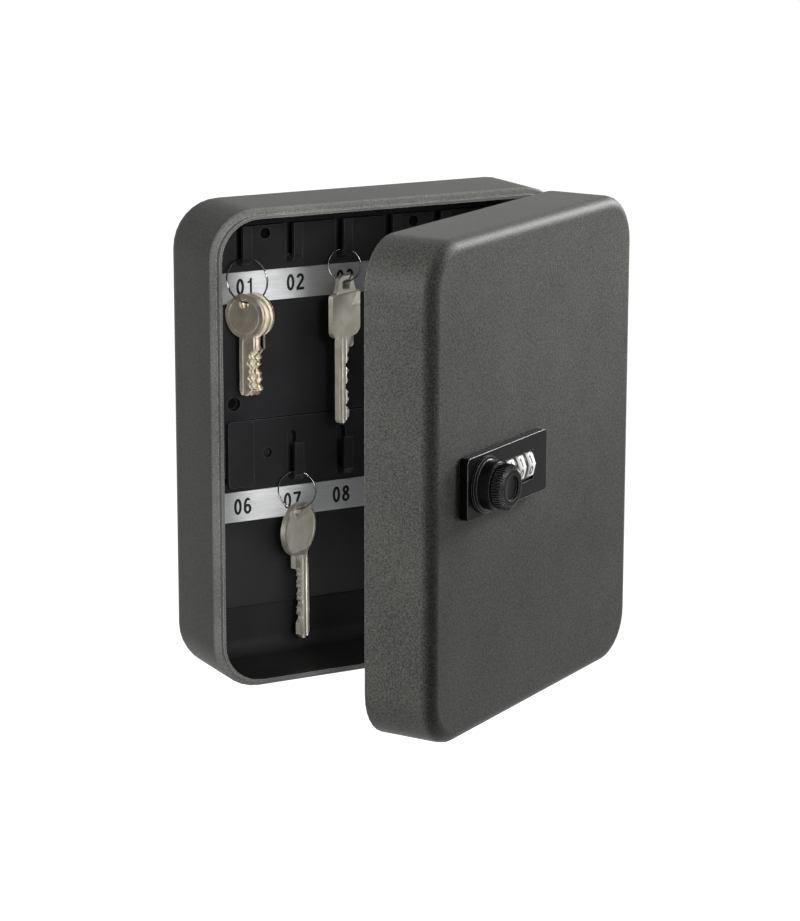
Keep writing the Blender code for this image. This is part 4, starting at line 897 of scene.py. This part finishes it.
def trough(x, width, depth, low, high, side, thickness):
    # A groove cutter with sloping flanks, along the blade on one face, that runs out at its top.
    face = side * thickness / 2
    wide, narrow = width / 2 + cutter["spread"], width / 2 * cutter["floor"]
    rows = [(-wide, cutter["over"]), (wide, cutter["over"]), (narrow, -depth), (-narrow, -depth)]
    last = (high + cutter["runOut"], cutter["tail"], depth + cutter["clear"])
    bm = bmesh.new()
    ends = []
    for end, share, lift in ((low, 1, 0), (high, 1, 0), last):
        spots = [((x + px * share) * mm, end * mm, (face + side * (py + lift)) * mm) for px, py in rows]
        ends.append([bm.verts.new(spot) for spot in spots])
    bm.faces.new(ends[0])
    bm.faces.new(ends[2])
    for first, second in zip(ends, ends[1:]):
        for i in range(4):
            j = (i + 1) % 4
            bm.faces.new((first[i], first[j], second[j], second[i]))
    return meshOf("trough", bm)


def bowCutters(key, holeMiddle):
    # What is sunk into both faces of a bow: a rolled line, or all but a thin rim.
    centre = (0, key["top"] - key["height"] / 2)
    steps = bowFace["steps"]
    made = []
    for side in (-1, 1):
        sink = side * (key["thickness"] / 2 - bowFace["depth"] + bowFace["cutter"] / 2)
        if key["shape"] == "round":
            outer = arc(centre, bowFace["lineOuter"], 0, 360, steps)[:-1]
            inner = arc(centre, bowFace["lineInner"], 0, 360, steps)[:-1]
            tool = plate("line", bowFace["cutter"], outer, inner)
        elif key["shape"] == "oval":
            reach = (key["width"] / 2 - bowFace["rim"], key["height"] / 2 - bowFace["rim"])
            field = arc(centre, reach, *bowFace["rimArc"], steps)
            boss = holeLoop(key, holeMiddle, bowFace["boss"])
            tool = plate("face", bowFace["cutter"], field)
            tool = carve(tool, [plate("boss", 3 * bowFace["cutter"], boss)])
        else:
            continue
        made.append(placed(tool, Matrix.Translation((0, 0, sink * mm))))
    return made


def holeLoop(key, middle, more=0):
    # The hole's edge, or one that is wider by an amount.
    width, height = key["hole"]
    corners = roundRectangle(width + more, height + more, height * 0.49 + more / 2)
    return [(x, y + middle) for x, y in corners]


def buildKey(node, key):
    plain, stop, down, point = bladeLoop(key)
    left, right = sorted((plain, stop))
    bow = bowLoop(key, left, right)
    blade = [*down, *point]
    outline = [*bow, *blade] if stop < plain else [*bow, *reversed(blade)]
    holeMiddle = key["holeTop"] - key["hole"][1] / 2
    mesh = plate(node + "_cut", key["thickness"], outline, holeLoop(key, holeMiddle))
    tools = bowCutters(key, holeMiddle)
    low, high = key["tip"] - cutter["past"], key["neck"] - cutter["past"]
    for side, away, width, depth in key["grooves"]:
        tools.append(trough(plain + key["bitted"] * away, width, depth, low, high, side, key["thickness"]))
    mesh = eased(carve(mesh, tools), blank["edge"], angle=40, sharp=40)
    turn = Matrix.Rotation(math.radians(key["turn"]), 4, "Z")
    slide = Matrix.Translation((key["slide"] * mm, 0, 0))
    spot = Matrix.Translation(Vector(key["place"]) * mm) @ turn @ slide @ upright
    piece = showMesh(node + "_blank", placed(mesh, spot), surface[key["finish"]], node)
    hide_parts(node)


for keyNode, keySpec in keys.items():
    buildKey(keyNode, keySpec)
print("keys cut")


# The floor is lit plainly, and white where it is looked at; room is the world's light on the part.
stage = dict(floor=-0.62, size=40.0, paper="c8c8c8", glow=1.0, room=0.12, white=1.0)
middleOfPart = (0, -60, 0)
# Metres and watts, but aim is in millimetres. only names the group of pieces that a lamp lights, past
# says that nothing else shades them, and matt keeps the lamp out of reflections.
lamps = {
    "sideSoftbox": dict(place=(-1.0, 0.2, 0.22), size=(0.5, 0.6), watts=22, only="doorGroup"),
    "leftSoftbox": dict(place=(-1.0, -0.45, 0.1), size=(0.35, 0.6), watts=3.4, only="caseGroup"),
    "rightSoftbox": dict(place=(0.6, -0.32, 0.6), size=(0.4, 0.3), watts=3.0),
    "rearRightSoftbox": dict(place=(1.15, 0.15, 0.5), size=(0.4, 0.4), watts=24),
    "faceSpot": dict(
        place=(1.0, -0.85, 0.17), aim=(-10, -95, 98), cone=13.5, wide=1.5, blend=1.0, radius=0.02,
        watts=36, only="doorGroup", matt=True,
    ),
    "topSoftbox": dict(place=(0.6, -0.3, 1.15), size=(0.5, 0.35), watts=2),
    "insideSoftbox": dict(place=(-0.42, -1.45, 0.36), size=(0.2, 0.3), watts=12, only="insideGroup"),
    "insideFill": dict(place=(-0.08, -1.2, 0.45), size=(0.2, 0.2), watts=3, only="insideGroup", past=True),
    "stripSpot": dict(
        place=(-0.36, -1.43, 0.36), aim=(-40.5, -6, 14.5), cone=8.2, wide=0.19, blend=1.0, radius=0.006,
        watts=165, only="stripGroup", past=True,
    ),
    "lockSpot": dict(place=(0.02, -1.2, -0.25), size=(0.12, 0.12), watts=3.5, only="lockGroup"),
    "keyRightSpot": dict(place=(1.0, -0.5, 0.1), size=(0.4, 0.5), watts=6, only="keyGroup", past=True),
    "keyLeftSpot": dict(place=(-0.9, -0.6, 0.1), size=(0.3, 0.4), watts=10, only="keyGroup", past=True),
}


def seenStraight(tree):
    # 1 where the camera looks at a surface itself or sees it in metal or glass.
    rays = addNode(tree, "ShaderNodeLightPath").outputs
    seen = rays["Is Camera Ray"]
    for kind in ("Is Glossy Ray", "Is Transmission Ray"):
        seen = addNode(tree, "ShaderNodeMath", {0: seen, 1: rays[kind]}, operation="MAXIMUM").outputs["Value"]
    return seen


def buildStage():
    bm = bmesh.new()
    bmesh.ops.create_grid(bm, x_segments=2, y_segments=2, size=stage["size"] / 2)
    bmesh.ops.translate(bm, verts=bm.verts, vec=(0, 0, stage["floor"]))
    floor = bpy.data.objects.new("floor", meshOf("floor", bm))
    scene.collection.objects.link(floor)
    paper = bpy.data.materials.new("mattPaper")
    paper.use_nodes = True
    tree = paper.node_tree
    tree.nodes.clear()
    seen = seenStraight(tree)
    lit = addNode(tree, "ShaderNodeBsdfDiffuse", {"Color": rgba(stage["paper"])})
    glow = addNode(tree, "ShaderNodeEmission", {"Color": rgba("ffffff"), "Strength": stage["glow"]})
    both = addNode(tree, "ShaderNodeAddShader", {0: lit.outputs["BSDF"], 1: glow.outputs["Emission"]})
    mixed = addNode(tree, "ShaderNodeMixShader", {0: seen, 1: lit.outputs["BSDF"], 2: both.outputs["Shader"]})
    addNode(tree, "ShaderNodeOutputMaterial", {"Surface": mixed.outputs["Shader"]})
    floor.data.materials.append(paper)


def buildWorld():
    world = bpy.data.worlds.new("studio")
    scene.world = world
    world.use_nodes = True
    tree = world.node_tree
    tree.nodes.clear()
    layers = {0: seenStraight(tree)}
    for socket, kind in ((1, "room"), (2, "white")):
        glow = addNode(tree, "ShaderNodeBackground", {"Color": rgba("ffffff"), "Strength": stage[kind]})
        layers[socket] = glow.outputs["Background"]
    mixed = addNode(tree, "ShaderNodeMixShader", layers)
    addNode(tree, "ShaderNodeOutputWorld", {"Surface": mixed.outputs["Shader"]})


# The groups by how their pieces' names start. A studio would flag and snoot its lamps to the same end.
lampGroups = {
    "caseGroup": ("case",),
    "doorGroup": ("door", "lock_", "knob_grip", "wheel_", "spacer_", "digits_"),
    "insideGroup": ("case", "panel_", "rivet_", "split_ring", "key_", "hole_caps", "strike"),
    "stripGroup": ("strip_", "numbers_"),
    "lockGroup": ("lock_housing", "knob_grip"),
    "keyGroup": ("split_ring", "key_"),
}


def gatherGroup(name):
    group = bpy.data.collections.new(name)
    for piece in scene.collection.objects:
        if piece.type == "MESH" and piece.name.startswith(lampGroups[name]):
            group.objects.link(piece)
    return group


def buildLamps():
    groups = {name: gatherGroup(name) for name in lampGroups}
    for name, spec in lamps.items():
        data = bpy.data.lights.new(name, "SPOT" if "cone" in spec else "AREA")
        data.energy = spec["watts"]
        lamp = bpy.data.objects.new(name, data)
        lamp.location = spec["place"]
        if "cone" in spec:
            data.spot_size = math.radians(spec["cone"])
            data.spot_blend = spec["blend"]
            data.shadow_soft_size = spec["radius"]
            lamp.scale.x = spec["wide"]  # a beam wider or narrower than it is high
        else:
            data.shape = "RECTANGLE"
            data.size, data.size_y = spec["size"]
        aim = Vector(spec.get("aim", middleOfPart)) * mm
        lamp.rotation_euler = (aim - lamp.location).to_track_quat("-Z", "Y").to_euler()
        lamp.visible_camera = False
        lamp.visible_glossy = "matt" not in spec
        scene.collection.objects.link(lamp)
        if "only" in spec:
            lamp.light_linking.receiver_collection = groups[spec["only"]]
        if "past" in spec:
            lamp.light_linking.blocker_collection = groups[spec["only"]]


buildStage()
buildWorld()
buildLamps()
scene.view_settings.view_transform = "Standard"
print("stage and light set")
